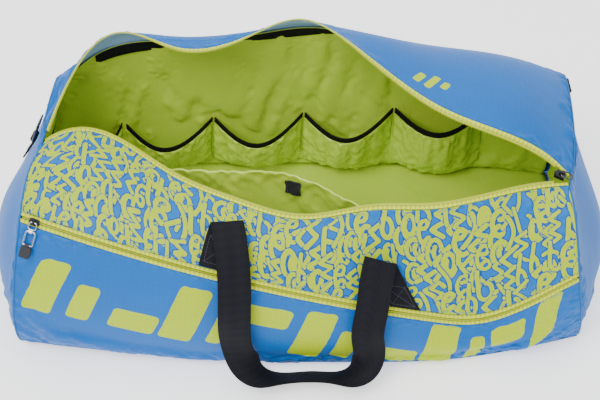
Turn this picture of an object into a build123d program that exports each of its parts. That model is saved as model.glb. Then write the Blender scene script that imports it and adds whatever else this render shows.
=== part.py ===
from build123d import *
import math
import os
from functools import lru_cache

import numpy as np
from scipy.interpolate import CubicSpline

# Racket tournament bag, standing on its base with the main zip open.
# Frame: X along the bag's length, front towards -Y, Z up, origin at the centre of the base's underside.

# ---- overall sizes (mm) ----
LENGTH = 720.0          # end seam to end seam
DEPTH = 330.0           # front to back at the base
HEIGHT = 200.0          # base to the top of the end panels
END_BULGE = 36.0        # how far each end panel swells out past its seam
END_SAG = {-1: 18.0, 1: 0.0}    # how far each end panel falls in again under the open mouth

# ---- cloth and webbing ----
SHELL_WALL = 1.2
LINING_WALL = 0.8
LINING_GAP = 6.0        # outer face of the shell to outer face of the lining
SEAM_GAP = 0.6          # left between two sewn panels
END_MARGIN = 2.8        # end panel's edge to the bag's seam line
BOARD_WALL = 2.5        # stiffening board in the base
BASE_GAP = 0.6
WEBBING_WIDTH = 40.0
WEBBING_WALL = 2.2
WEBBING_LIFT = 0.8      # webbing lies this far off the panel under it

# ---- zips ----
MAIN_TAPE = 8.0         # visible width of each half of the main zip
POCKET_TAPE = 4.6
TAPE_WALL = 0.9
COIL_WIDTH = 2.6
COIL_WALL = 2.0
ZIP_GAP = 0.35
ZIP_CLOSED = 4.0        # main zip that stays closed past its slider
SLIDER_LENGTH = 13.0
SLIDER_WIDTH = 9.0
SLIDER_WALL = 1.6
SLIDER_LIFT = 0.5
PULL_WIRE = 1.8

# ---- inside ----
BINDING_WIDTH = 14.0
ELASTIC_WIDTH = 8.0
ELASTIC_WALL = 1.4
POUCH_GAP = 1.0
POUCH_BOW = 44.0        # how far a pouch mouth stands off the back wall
DIVIDER_WALL = 2.4
PATCH_SIZE = 20.0       # square of hook-and-loop on the divider

# ---- rings ----
RING_WIRE = 2.6
RING_WIDTH = 30.0
RING_HEIGHT = 26.0
TAB_WIDTH = 20.0
RING_CLEAR = 0.45

HALF_LENGTH = LENGTH / 2
HALF_DEPTH = DEPTH / 2
FLOOR_LIFT = 3.0        # lowest edge of the side panels
SIZE = np.array([HALF_LENGTH, HALF_DEPTH, HEIGHT])


def unit(vector):
    """The vector at a length of one."""
    return vector / np.linalg.norm(vector)


class Row:
    """A line along the bag from the left end seam to the right one.

    The ends are given in half-lengths, the depths in half-depths and the heights in heights
    of the bag, at even steps from left to right.
    """

    def __init__(self, left, right, depths, heights):
        steps = np.linspace(0, 1, len(depths))
        self.left = left
        self.right = right
        self.depth = CubicSpline(steps, depths)
        self.height = CubicSpline(np.linspace(0, 1, len(heights)), heights)

    def at(self, s):
        x = self.left + (self.right - self.left) * s
        return np.array([x, float(self.depth(s)), float(self.height(s))]) * SIZE


class FloorRow(Row):
    """A line along the foot of a side panel, at one small height."""

    def __init__(self, left, right, depths):
        super().__init__(left, right, depths, [0, 0, 0, 0])

    def at(self, s):
        return super().at(s) + np.array([0, 0, FLOOR_LIFT])


class ZipRow:
    """The pocket zip: one flat arc that falls to the right, then a tail that curls up again."""

    def __init__(self, left, middle, low, tail):
        ends = [Vector(*(np.array(p) * SIZE)) for p in (left, middle, low)]
        self.arc = ThreePointArc(*ends)
        tail_points = [Vector(*(np.array(p) * SIZE)) for p in tail]
        self.tail = Spline(ends[2], *tail_points, tangents=[self.arc % 1, (tail_points[-1] - tail_points[-2])])
        points = [self.arc @ k for k in np.linspace(0, 1, 80)]
        points += [self.tail @ k for k in np.linspace(0.02, 1, 40)]
        self.table = np.array([tuple(p) for p in points])
        self.centre = self.arc.arc_center
        start = ends[0] - self.centre
        self.axis = start.cross(ends[2] - self.centre).normalized()
        self.radius = start.length
        self.sweep = start.get_angle(ends[2] - self.centre)
        self.start = ends[0]

    def at(self, s):
        x = self.table[0, 0] + (self.table[-1, 0] - self.table[0, 0]) * s
        y = np.interp(x, self.table[:, 0], self.table[:, 1])
        z = np.interp(x, self.table[:, 0], self.table[:, 2])
        return np.array([x, y, z])

    def share_at_arc_end(self):
        end = tuple(self.arc @ 1)[0]
        return (end - self.table[0, 0]) / (self.table[-1, 0] - self.table[0, 0])


class Surface:
    """A smooth surface with two shares, u and v, and a normal that points out of the bag."""

    turn = 1

    def point(self, u, v):
        raise NotImplementedError

    def normal(self, u, v, step=0.01):
        along_u = self.point(u + step, v) - self.point(u - step, v)
        along_v = self.point(u, v + step) - self.point(u, v - step)
        return unit(np.cross(along_u, along_v)) * self.turn

    def out(self, u, v, lift):
        """The point that stands this far out of the surface; inside the bag it is negative."""
        return self.point(u, v) + self.normal(u, v) * lift

    def share_for(self, u, v, distance):
        """How much v grows over this distance from a point."""
        step = 0.02
        speed = np.linalg.norm(self.point(u, v + step) - self.point(u, v)) / step
        return distance / speed


class Skin(Surface):
    """The cloth through several rows; v counts the rows from the mouth down."""

    def __init__(self, rows, turn):
        self.rows = rows
        self.turn = turn
        self.section = lru_cache(maxsize=4000)(self.make_section)

    def make_section(self, u):
        knots = np.array([row.at(u) for row in self.rows])
        return CubicSpline(range(len(self.rows)), knots)

    def point(self, u, v):
        return self.section(round(float(u), 6))(v)


class EndPatch(Surface):
    """An end panel: u runs from the front seam to the back seam, v from the base to the top."""

    def __init__(self, front, back, side):
        self.u = 0.0 if side < 0 else 1.0
        self.turn = side
        self.side = side
        self.front = CubicSpline(np.linspace(0, 1, 7), [front.point(self.u, 4 - 3 * k / 6) for k in range(7)])
        self.back = CubicSpline(np.linspace(0, 1, 7), [back.point(self.u, 4 - 2 * k / 6) for k in range(7)])
        crest = [front.point(self.u, v) for v in (1, 0.5, 0.1)]
        crest += [back.point(self.u, v) for v in (0.1, 0.5, 1, 1.5, 2)]
        gaps = [np.linalg.norm(b - a) for a, b in zip(crest, crest[1:])]
        share = np.concatenate([[0], np.cumsum(gaps)]) / sum(gaps)
        self.top = CubicSpline(share, crest)

    def point(self, u, v):
        base = (1 - u) * self.front(0) + u * self.back(0)
        across = (1 - v) * base + v * self.top(u)
        upright = (1 - u) * self.front(v) + u * self.back(v)
        low = (1 - u) * self.front(0) + u * self.back(0)
        high = (1 - u) * self.front(1) + u * self.back(1)
        flat = across + upright - (1 - v) * low - v * high
        along = math.sin(math.pi * u) * (1 + 0.35 * math.cos(math.pi * u))
        up = math.sin(math.pi * v) * (1 + 0.6 * math.cos(math.pi * v))
        sag = END_SAG[self.side] * math.exp(-((u - 0.62) / 0.2) ** 2 - ((v - 0.72) / 0.22) ** 2)
        swell = END_BULGE * along * up - sag * math.sin(math.pi * u) * math.sin(math.pi * v)
        return flat + np.array([self.side * swell, 0, 0])


class Pouch(Surface):
    """An elastic-topped pouch on the back wall; u runs across it and v from its mouth down."""

    def __init__(self, wall, left, right):
        self.wall = wall
        self.left = left
        self.right = right
        self.turn = wall.turn

    def point(self, u, v):
        s = self.left + (self.right - self.left) * u
        bow = math.sin(math.pi * u)
        mouth = POUCH_MOUTH(s) + 0.12 * bow
        t = mouth + (3.84 - mouth) * v
        lift = LINING_GAP + LINING_WALL + POUCH_GAP + POUCH_BOW * bow * (1 - 0.55 * v * abs(v))
        return self.wall.out(s, t, -lift)


class Divider(Surface):
    """The soft wall between the two racket bays; u runs along it and v from its foot up."""

    turn = -1

    def __init__(self, ends, depths, heights, lean):
        steps = np.linspace(0, 1, len(depths))
        self.ends = ends
        self.depth = CubicSpline(steps, depths)
        self.height = CubicSpline(steps, heights)
        self.lean = lean

    def point(self, u, v):
        x = self.ends[0] + (self.ends[1] - self.ends[0]) * u
        foot = FLOOR_LIFT + BOARD_WALL + 4
        z = foot + (float(self.height(u)) * HEIGHT - foot) * v
        y = self.lean + (float(self.depth(u)) * HALF_DEPTH - self.lean) * v ** 1.3 if v > 0 else self.lean
        return np.array([x, y, z])


class Ribbon(Surface):
    """A strip of webbing along a curve; u runs along it and v across it."""

    def __init__(self, path, acrosses, width):
        path = np.array(path)
        gaps = np.linalg.norm(np.diff(path, axis=0), axis=1)
        share = np.concatenate([[0], np.cumsum(gaps)]) / gaps.sum()
        self.path = CubicSpline(share, path)
        self.across = CubicSpline(share, np.array(acrosses))
        self.width = width

    def point(self, u, v):
        heading = unit(self.path(u, 1))
        across = self.across(u)
        across = unit(across - heading * np.dot(across, heading))
        return self.path(u) + across * self.width * (v - 0.5)


def sheet(surface, u_span, v_span, outer, inner, count_u=21, count_v=9):
    """A closed sheet between two offsets of a surface, both measured outwards.

    A span's ends are shares, and the ends of the v span may be functions of u.
    """

    def edge(value, u):
        return value(u) if callable(value) else value

    def grid(lift):
        rows = []
        for u in np.linspace(*u_span, count_u):
            low, high = (edge(value, u) for value in v_span)
            rows.append([Vector(*surface.out(u, v, lift)) for v in np.linspace(low, high, count_v)])
        return Face.make_surface_from_array_of_points(rows, tol=0.01, min_deg=3, max_deg=3)

    near = grid(outer)
    far = grid(inner)
    walls = []
    for rim in near.edges():
        partner = min(far.edges(), key=lambda e: (e.position_at(0.5) - rim.position_at(0.5)).length)
        walls.append(Face.make_surface_from_curves(rim, partner))
    solid = Solid(Shell([near, far, *walls]))
    return solid if solid.volume > 0 else Solid(Shell([-f for f in solid.faces()]))


def save(name, *shapes):
    """Write one node."""
    shape = shapes[0] if len(shapes) == 1 else Compound(list(shapes))
    shape.label = name
    export_step(shape, f"parts/{name}.step")


# ---- the lines that shape the bag, each from left to right ----
FRONT_TOP = Row(-0.883, 0.905, [0.04, 0.145, -0.21, -0.45, -0.60, -0.53, -0.53, -0.42, -0.36],
                [1.055, 1.015, 0.985, 0.96, 0.95, 0.97, 0.99, 1.005, 1.03])
FRONT_SHOULDER = Row(-0.919, 0.922, [-0.29, -0.38, -0.62, -0.78, -0.87, -0.85, -0.83, -0.77, -0.70],
                     [1.065, 1.07, 0.99, 0.91, 0.86, 0.81, 0.74, 0.76, 0.94])
POCKET_ZIP = ZipRow((-0.936, -0.64, 0.965), (-0.222, -1.018, 0.745), (0.475, -1.042, 0.39),
                    [(0.606, -1.02, 0.35), (0.739, -0.985, 0.425), (0.86, -0.95, 0.57), (0.944, -0.91, 0.66)])
POCKET_BULGE = Row(-0.978, 0.975, [-0.97, -1.07, -1.14, -1.18, -1.19, -1.19, -1.16, -1.10, -0.96],
                   [0.50, 0.50, 0.46, 0.40, 0.34, 0.28, 0.21, 0.23, 0.33])
FRONT_FOOT = FloorRow(-0.980, 0.995, [-0.91, -0.99, -1.05, -1.09, -1.11, -1.11, -1.09, -1.00, -0.86])
LID_EDGE = Row(-0.878, 0.905, [0.10, 0.85, 0.68, 0.74, 0.84, 0.44, 0.02, -0.17, -0.33],
               [1.06, 1.35, 1.325, 1.365, 1.47, 1.42, 1.32, 1.235, 1.04])
LID_CROWN = Row(-0.894, 0.965, [0.45, 0.98, 0.92, 0.95, 1.02, 0.82, 0.55, 0.38, 0.24],
                [1.06, 1.24, 1.28, 1.30, 1.32, 1.35, 1.33, 1.27, 1.03])
BACK_TOP = Row(-0.894, 0.975, [0.84, 1.00, 1.04, 1.05, 1.06, 1.06, 1.05, 1.02, 0.89],
               [0.97, 1.02, 1.06, 1.08, 1.09, 1.09, 1.07, 1.04, 0.96])
BACK_BULGE = Row(-0.972, 0.995, [0.93, 1.02, 1.05, 1.06, 1.06, 1.06, 1.05, 1.02, 0.94],
                 [0.50, 0.52, 0.53, 0.53, 0.53, 0.53, 0.53, 0.52, 0.50])
BACK_FOOT = FloorRow(-0.985, 0.995, [0.90, 0.98, 1.01, 1.02, 1.02, 1.02, 1.01, 0.98, 0.90])

BACK_SEAM = 2.5         # row at which the lid panel meets the back panel
FOOT_SHARE = 3.93       # row at which the side linings stop above the base
FRONT_LINING_TOP = 0.12
LINING_TOP = CubicSpline(np.linspace(0, 1, 5), [1.20, 1.38, 1.08, 1.10, 1.20])   # row of the rear lining's top
BINDING_SPAN = (0.07, 0.95)
POUCH_ENDS = (0.150, 0.855)
POUCH_MOUTH = CubicSpline([0, 0.3, 0.6, 1], [3.14, 3.12, 3.0, 3.0])    # row of the pouches' seams at the top
POUCH_COUNT = 4
BOTTLE_POUCH_LEFT = 0.06
PATCH_SHARE = 0.483
PATCH_DROP = 9.0
ARC_MARGIN = 1.5
POCKET_SLIDER_START = 12.0
MAIN_SLIDER_LIFT = 1.0
MAIN_RING = 15.0
LINK_LENGTH = 9.0
LINK_WIDTH = 9.5
FRAME_LENGTH = 17.0
FRAME_WIDTH = 12.0
FRAME_WIRE = 2.0
SLEEVE_WALL = 0.9
SLEEVE_LENGTH = 5.0
TAB_LENGTH = 14.0
TAB_BREADTH = 13.0
TAB_WALL = 3.6
PULL_REST_LIFT = 7.0
HANDLE_SHARES = (0.37, 0.63)
REAR_FOLD = 2.4
REAR_FOOT = 3.2
RING_PLACES = {"left": (0.60, 0.58, 0.68), "right": (0.945, 0.93, 0.83)}
RING_LEAN = 8.0

front = Skin([FRONT_TOP, FRONT_SHOULDER, POCKET_ZIP, POCKET_BULGE, FRONT_FOOT], turn=-1)
back = Skin([LID_EDGE, LID_CROWN, BACK_TOP, BACK_BULGE, BACK_FOOT], turn=1)
divider = Divider((-0.87 * HALF_LENGTH, 0.87 * HALF_LENGTH),
                  [0.12, 0.10, 0.08, 0.06, 0.00, -0.30, -0.48, -0.42, -0.30],
                  [0.80, 0.76, 0.75, 0.75, 0.75, 0.74, 0.76, 0.78, 0.80], lean=-0.12 * HALF_DEPTH)
ends = {"left": EndPatch(front, back, -1), "right": EndPatch(front, back, 1)}



def below(surface, edge, distance):
    """A span end that lies this far past an edge, measured on the surface."""
    return lambda u: edge + math.copysign(surface.share_for(u, edge, abs(distance)), distance)


def span(gap):
    """The whole length of the bag but for this much at each end."""
    return gap / LENGTH, 1 - gap / LENGTH


def make_shell():
    """The outer panels of coated cloth."""
    seams = span(SEAM_GAP)
    pocket_half = COIL_WIDTH / 2 + ZIP_GAP + POCKET_TAPE + SEAM_GAP
    upper = (below(front, 0, MAIN_TAPE + 2 * SEAM_GAP), below(front, 2, -pocket_half))
    save("front_upper_panel", sheet(front, seams, upper, 0, -SHELL_WALL, 33, 11))
    lower = (below(front, 2, pocket_half), 4)
    save("front_pocket_panel", sheet(front, seams, lower, 0, -SHELL_WALL, 33, 11))
    lid = (below(back, 0, MAIN_TAPE + SEAM_GAP), BACK_SEAM)
    save("lid_panel", sheet(back, seams, lid, 0, -SHELL_WALL, 33, 13))
    save("back_panel", sheet(back, seams, (below(back, BACK_SEAM, SEAM_GAP), 4), 0, -SHELL_WALL, 33, 9))
    for side, patch in ends.items():
        across = (END_MARGIN / DEPTH, 1 - END_MARGIN / DEPTH)
        upright = (0.0, 1 - 2.4 * END_MARGIN / HEIGHT)
        save(f"{side}_end_panel", sheet(patch, across, upright, 0, -SHELL_WALL, 17, 13))


def outline(inset, z):
    """The base's outline, moved in by an inset."""
    shares = np.linspace(0, 1, 9)
    frontal = [FRONT_FOOT.at(s) for s in shares]
    rear = [BACK_FOOT.at(s) for s in shares]

    def moved(point, towards):
        shifted = point + np.array([-math.copysign(inset, point[0]) if abs(point[0]) > HALF_LENGTH * 0.9 else 0, 0, 0])
        return Vector(shifted[0], shifted[1] + towards * inset, z)

    near = [moved(p, 1) for p in frontal]
    far = [moved(p, -1) for p in rear]
    edges = [Spline(*near), Line(near[-1], far[-1]), Spline(*far), Line(far[0], near[0])]
    return Face(Wire(edges))


def make_base():
    """The base cloth, the stiffening board on it and the lining over the board."""
    save("base_panel", extrude(outline(0, 0), SHELL_WALL, dir=(0, 0, 1)))
    board = SHELL_WALL + BASE_GAP
    save("base_board", extrude(outline(LINING_GAP + LINING_WALL + 2, board), BOARD_WALL, dir=(0, 0, 1)))
    lining = board + BOARD_WALL + BASE_GAP
    save("base_lining", extrude(outline(LINING_GAP + LINING_WALL + 2, lining), LINING_WALL, dir=(0, 0, 1)))


def make_linings():
    """The shiny lining inside the walls, and the dark binding on its top edge."""
    top = LINING_TOP
    ends_in = span(LINING_GAP + LINING_WALL + 2)
    outer, inner = -LINING_GAP, -LINING_GAP - LINING_WALL
    save("back_lining", sheet(back, ends_in, (top, FOOT_SHARE), outer, inner, 33, 15))
    save("front_lining", sheet(front, ends_in, (FRONT_LINING_TOP, FOOT_SHARE), outer, inner, 33, 13))
    for side, patch in ends.items():
        rim = LINING_GAP + LINING_WALL + 3
        across = (rim / DEPTH, 1 - rim / DEPTH)
        upright = (rim / HEIGHT, 1 - 1.8 * rim / HEIGHT)
        save(f"{side}_lining", sheet(patch, across, upright, outer, inner, 15, 11))
    skin = inner - SEAM_GAP
    bottom = lambda u: LINING_TOP(u) + back.share_for(u, LINING_TOP(u), BINDING_WIDTH)
    save("lining_binding", sheet(back, BINDING_SPAN, (top, bottom), skin, skin - TAPE_WALL, 33, 4))


def make_pouches():
    """Open-topped pouches along the back wall, each with an elastic band round its mouth."""
    step = (POUCH_ENDS[1] - POUCH_ENDS[0]) / POUCH_COUNT
    edges = [BOTTLE_POUCH_LEFT] + [POUCH_ENDS[0] + step * k for k in range(POUCH_COUNT + 1)]
    gap = POUCH_GAP / LENGTH
    for number, (left, right) in enumerate(zip(edges, edges[1:]), 1):
        pouch = Pouch(back, left + gap, right - gap)
        mouth = below(pouch, 0, ELASTIC_WIDTH + SEAM_GAP)
        save(f"pouch_{number}", sheet(pouch, (0, 1), (mouth, 1), 0, LINING_WALL, 17, 9))
        band = below(pouch, 0, ELASTIC_WIDTH)
        save(f"pouch_{number}_elastic", sheet(pouch, (0, 1), (0, band), -0.3, ELASTIC_WALL - 0.3, 17, 4))


def make_divider():
    """The soft divider, hinged along its foot, with a square of hook-and-loop on its front."""
    save("divider", sheet(divider, (0, 1), (0.02, 1), 0, -DIVIDER_WALL, 25, 9))
    half = PATCH_SIZE / 2 / (divider.ends[1] - divider.ends[0])
    at = PATCH_SHARE
    low = lambda u: 1 - divider.share_for(u, 0.9, PATCH_SIZE + PATCH_DROP)
    high = lambda u: 1 - divider.share_for(u, 0.9, PATCH_DROP)
    lift = SEAM_GAP
    save("divider_patch", sheet(divider, (at - half, at + half), (low, high), lift + 1.2, lift, 5, 5))


def make_main_zip():
    """The tape and the coil along each side of the open mouth."""
    seams = span(SEAM_GAP)
    open_part = (seams[0], 1 - (ZIP_CLOSED + SLIDER_LENGTH + SLIDER_LIFT) / LENGTH)
    for name, skin in (("front", front), ("lid", back)):
        coil = below(skin, 0, COIL_WIDTH)
        save(f"{name}_zip_coil", sheet(skin, open_part, (0, coil), COIL_WALL / 2, -COIL_WALL / 2, 41, 4))
        tape = (below(skin, 0, COIL_WIDTH + ZIP_GAP), below(skin, 0, MAIN_TAPE))
        save(f"{name}_zip_tape", sheet(skin, seams, tape, 0, -TAPE_WALL, 41, 4))


def arc_strip(low, high, inner, outer):
    """A band that follows the arc of the pocket zip."""
    begin = math.degrees(ARC_MARGIN / POCKET_ZIP.radius)
    outward = (POCKET_ZIP.start - POCKET_ZIP.centre).normalized()
    heading = POCKET_ZIP.axis.cross(outward)
    plane = Plane(origin=POCKET_ZIP.start, x_dir=POCKET_ZIP.axis, z_dir=heading)
    section = plane * Pos((low + high) / 2, (inner + outer) / 2) * Rectangle(high - low, outer - inner)
    axis = Axis(POCKET_ZIP.centre, POCKET_ZIP.axis)
    return revolve(section.rotate(axis, begin), axis, POCKET_ZIP.sweep - 2 * begin)


def make_pocket_zip():
    """The closed zip of the front pocket: two tapes with the coil between them."""
    tail = (POCKET_ZIP.share_at_arc_end() + ARC_MARGIN / LENGTH, 1 - SEAM_GAP / LENGTH)
    near = COIL_WIDTH / 2 + ZIP_GAP
    far = near + POCKET_TAPE
    half = COIL_WALL / 2
    for name, side in (("upper", -1), ("lower", 1)):
        edges = sorted((-side * near, -side * far))
        spans = [below(front, 2, side * near), below(front, 2, side * far)][::side]
        curl = sheet(front, tail, spans, 0, -TAPE_WALL, 17, 4)
        save(f"pocket_zip_{name}_tape", arc_strip(*edges, -TAPE_WALL, 0), curl)
    spans = (below(front, 2, -COIL_WIDTH / 2), below(front, 2, COIL_WIDTH / 2))
    curl = sheet(front, tail, spans, half, -half, 17, 4)
    save("pocket_zip_coil", arc_strip(-COIL_WIDTH / 2, COIL_WIDTH / 2, -half, half), curl)


def wire_loop(length, width, wire, radius):
    """A closed wire loop in the XY plane; the centre line of its first bar lies on the Y axis."""
    route = Pos(length / 2, 0) * RectangleRounded(length, width, radius)
    path = route.wires()[0]
    start = path @ 0
    section = Plane(origin=start, z_dir=path % 0) * Circle(wire / 2)
    return sweep(section, path=path, transition=Transition.ROUND).solids()[0]


def slider_body(post, bail_turn=0):
    """A slider with its foot at the origin: X is its travel, Y across the zip, Z out of the bag."""
    base = COIL_WALL / 2 + SLIDER_LIFT
    plate = Pos(0, 0, base + SLIDER_WALL / 2) * Box(SLIDER_LENGTH, SLIDER_WIDTH, SLIDER_WALL)
    plate = fillet(plate.edges().filter_by(Axis.Z), SLIDER_WIDTH * 0.3)
    top = base + SLIDER_WALL
    bar = SLIDER_WALL * 0.75
    inside = PULL_WIRE + 2 * RING_CLEAR
    outer = Box(inside + 2 * bar, 2.4, inside + bar, align=(Align.CENTER, Align.CENTER, Align.MIN))
    inner = Box(inside, 3, inside, align=(Align.CENTER, Align.CENTER, Align.MIN))
    bail = Pos(0, 0, top) * Rot(0, 0, bail_turn) * (outer - inner)
    body = plate + bail
    if post:
        under = Pos(0, 0, -base - SLIDER_WALL / 2) * Box(SLIDER_LENGTH, SLIDER_WIDTH, SLIDER_WALL)
        pillar = Pos(-SLIDER_LENGTH * 0.38, 0, 0) * Box(2.0, 1.6, 2 * base + 0.2)
        body = body + under + pillar
    return body, top + RING_CLEAR + PULL_WIRE / 2


def frame_at(origin, travel, outward):
    """The location that turns X to the travel and Z outwards."""
    return Plane(origin=Vector(*origin), x_dir=Vector(*travel), z_dir=Vector(*outward)).location


def make_main_slider():
    """The slider at the closed right end of the main zip, with its ring lying towards that end."""
    u = 1 - ZIP_CLOSED / LENGTH - SLIDER_LENGTH / 2 / LENGTH
    near = front.point(u, 0)
    far = back.point(u, 0)
    travel = unit(front.point(u + 0.01, 0) + back.point(u + 0.01, 0) - near - far)
    outward = unit(front.normal(u, 0.1) + back.normal(u, 0.1))
    outward = unit(outward - travel * np.dot(outward, travel))
    place = frame_at((near + far) / 2 + outward * MAIN_SLIDER_LIFT, travel, outward)
    body, pin = slider_body(post=True)
    save("main_slider", place * body)
    ring = Pos(0, 0, pin) * wire_loop(MAIN_RING, SLIDER_WIDTH, PULL_WIRE, SLIDER_WIDTH * 0.4)
    save("main_pull_ring", place * ring)
    hinge = place * Pos(0, 0, pin)
    report("main_slider", place.position, Vector(*travel))
    report("main_pull_ring", hinge.position, Plane(place).y_dir)


def sleeve(bar, wall, length):
    """A tube that turns freely round a bar on the Y axis."""
    bore = bar / 2 + RING_CLEAR
    return Rot(90, 0, 0) * (Cylinder(bore + wall, length) - Cylinder(bore, length + 1))


def make_pocket_slider():
    """The slider at the left end of the pocket zip, with its link, frame and rubber tab hanging."""
    at = (ARC_MARGIN + SLIDER_LENGTH / 2 + POCKET_SLIDER_START) / POCKET_ZIP.radius
    axis = POCKET_ZIP.axis
    outward = (POCKET_ZIP.start - POCKET_ZIP.centre).normalized()
    outward = outward.rotate(Axis((0, 0, 0), axis), math.degrees(at))
    origin = POCKET_ZIP.centre + outward * POCKET_ZIP.radius
    travel = axis.cross(outward)
    place = frame_at(origin, travel, outward)
    body, pin = slider_body(post=False, bail_turn=90)
    save("pocket_slider", place * body)
    report("pocket_slider", POCKET_ZIP.centre, axis)

    link_reach = LINK_LENGTH + PULL_WIRE / 2 + SLEEVE_WALL / 2 + FRAME_WIRE / 2 + RING_CLEAR
    reach = link_reach + FRAME_LENGTH + TAB_LENGTH
    hinge = place * Pos(0, 0, pin)
    share = (origin.X - POCKET_ZIP.start.X) / (2 * abs(POCKET_ZIP.start.X))
    rest = front.out(share, 2 + front.share_for(share, 2, reach), PULL_REST_LIFT)
    hang = Vector(*rest) - hinge.position
    hang = (hang - travel * hang.dot(travel)).normalized()
    chain = frame_at(hinge.position, hang, travel.cross(hang) * -1)
    if Plane(chain).z_dir.dot(outward) < 0:
        chain = frame_at(hinge.position, hang, travel.cross(hang))
    swing = Plane(chain).y_dir

    link = wire_loop(LINK_LENGTH, LINK_WIDTH, PULL_WIRE, LINK_WIDTH * 0.3)
    link += Pos(link_reach, 0, 0) * sleeve(FRAME_WIRE, SLEEVE_WALL, SLEEVE_LENGTH)
    save("pocket_pull_link", chain * link)
    report("pocket_pull_link", chain.position, swing)
    wire = wire_loop(FRAME_LENGTH, FRAME_WIDTH, FRAME_WIRE, FRAME_WIRE * 1.1)
    save("pocket_pull_frame", chain * Pos(link_reach, 0, 0) * wire)
    report("pocket_pull_frame", (chain * Pos(link_reach, 0, 0)).position, swing)
    start = FRAME_WIRE / 2 + RING_CLEAR + 0.4
    block = Box(TAB_LENGTH, TAB_BREADTH, TAB_WALL, align=(Align.MIN, Align.CENTER, Align.CENTER))
    block = Pos(start, 0, 0) * fillet(block.edges().filter_by(Axis.Z), 2.0)
    tab = block + sleeve(FRAME_WIRE, SLEEVE_WALL, SLEEVE_LENGTH)
    tab -= Rot(90, 0, 0) * Cylinder(FRAME_WIRE / 2 + RING_CLEAR, TAB_BREADTH + 2)
    save("pocket_pull_tab", chain * Pos(link_reach + FRAME_LENGTH, 0, 0) * tab)
    report("pocket_pull_tab", (chain * Pos(link_reach + FRAME_LENGTH, 0, 0)).position, swing)


class Strap(Surface):
    """A flat strap sewn on another surface; u runs from its foot to its fold, v across it."""

    def __init__(self, skin, foot, fold, width):
        self.skin = skin
        self.foot = np.array(foot)
        self.fold = np.array(fold)
        self.width = width
        self.turn = skin.turn

    def point(self, u, v):
        s, t = self.foot + (self.fold - self.foot) * u
        speed = np.linalg.norm(self.skin.point(s + 0.01, t) - self.skin.point(s - 0.01, t)) / 0.02
        return self.skin.point(s + (v - 0.5) * self.width / speed, t)


def make_handle(name, skin, feet, folds, route):
    """Two sewn anchors and the free loop between them, hanging down to the floor."""
    for side, foot, fold in zip(("left", "right"), feet, folds):
        strap = Strap(skin, foot, fold, WEBBING_WIDTH)
        strap.turn = strap_turn(strap, skin, foot)
        end = 1 - (WEBBING_WALL + 2) / np.linalg.norm(strap.point(1, 0.5) - strap.point(0, 0.5))
        solid = sheet(strap, (0, end), (0, 1), WEBBING_LIFT + WEBBING_WALL, WEBBING_LIFT, 9, 5)
        save(f"{name}_{side}_anchor", solid)
    path = [point for point, across in route]
    fold_line = unit(path[-1] - path[0])
    across = [fold_line] + [direction for point, direction in route[1:-1]] + [-fold_line]
    loop = Ribbon(path, across, WEBBING_WIDTH)
    half = WEBBING_WALL / 2
    save(f"{name}_handle", sheet(loop, (0, 1), (0, 1), half, -half, 61, 4))
    report(f"{name}_handle", path[0], unit(path[-1] - path[0]))
    print(f"{name} loop length", round(sum(np.linalg.norm(loop.point((k + 1) / 200, 0.5) - loop.point(k / 200, 0.5))
                                             for k in range(200)), 1))


def strap_turn(strap, skin, foot):
    """The sign that makes a strap's normal agree with the panel under it."""
    strap.turn = 1
    return 1 if np.dot(strap.normal(0.5, 0.5), skin.normal(*foot)) > 0 else -1


def hanging(skin, shares, steps, lift):
    """Points of a strand that lies on a panel, from its fold down."""
    return [skin.out(s, t, rise) for s, t, rise in zip(shares, steps, lift)]


def make_handles():
    """The carrying handle on each long side."""
    in_left, in_right = np.array([1.0, 0, 0]), np.array([-1.0, 0, 0])
    zip_edge = 2 - front.share_for(0.5, 2, COIL_WIDTH / 2 + ZIP_GAP + POCKET_TAPE + 2 * SEAM_GAP)
    left = hanging(front, (0.366, 0.375, 0.382, 0.386), (0.75, 1.30, 2.0, 2.7), (11.0, 11.2, 10.6, 12.0))
    right = hanging(front, (0.641, 0.630, 0.622, 0.617), (1.05, 1.50, 2.05, 2.6), (15.4, 14.2, 12.6, 12.2))
    lie = np.array([0, 0.81, -0.59])
    free = [((-0.205, -1.27, 0.27), in_left), ((-0.150, -1.32, 0.125), in_left + lie), ((0.045, -1.30, 0.067), lie),
            ((0.190, -1.32, 0.125), in_right + lie), ((0.235, -1.275, 0.24), in_right)]
    route = [(p, in_left) for p in left] + [(np.array(p) * SIZE, w) for p, w in free]
    route += [(p, in_right) for p in reversed(right)]
    make_handle("front", front, ((0.347, zip_edge), (0.688, zip_edge)), ((0.366, 0.75), (0.641, 1.05)), route)

    shares = (HANDLE_SHARES[0],) * 4, (HANDLE_SHARES[1],) * 4
    steps, lift = (REAR_FOLD, 2.62, 2.85, 3.1), (5.2, 7.0, 7.0, 8.0)
    left, right = (hanging(back, s, steps, lift) for s in shares)
    lie = np.array([0, -0.81, -0.59])
    free = [((-0.235, 1.165, 0.27), in_left), ((-0.165, 1.185, 0.125), in_left + lie), ((0.0, 1.20, 0.067), lie),
            ((0.165, 1.185, 0.125), in_right + lie), ((0.235, 1.165, 0.27), in_right)]
    route = [(p, in_left) for p in left] + [(np.array(p) * SIZE, w) for p, w in free]
    route += [(p, in_right) for p in reversed(right)]
    feet = [(s, REAR_FOOT) for s in HANDLE_SHARES]
    make_handle("rear", back, feet, [(s, REAR_FOLD) for s in HANDLE_SHARES], route)


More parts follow.
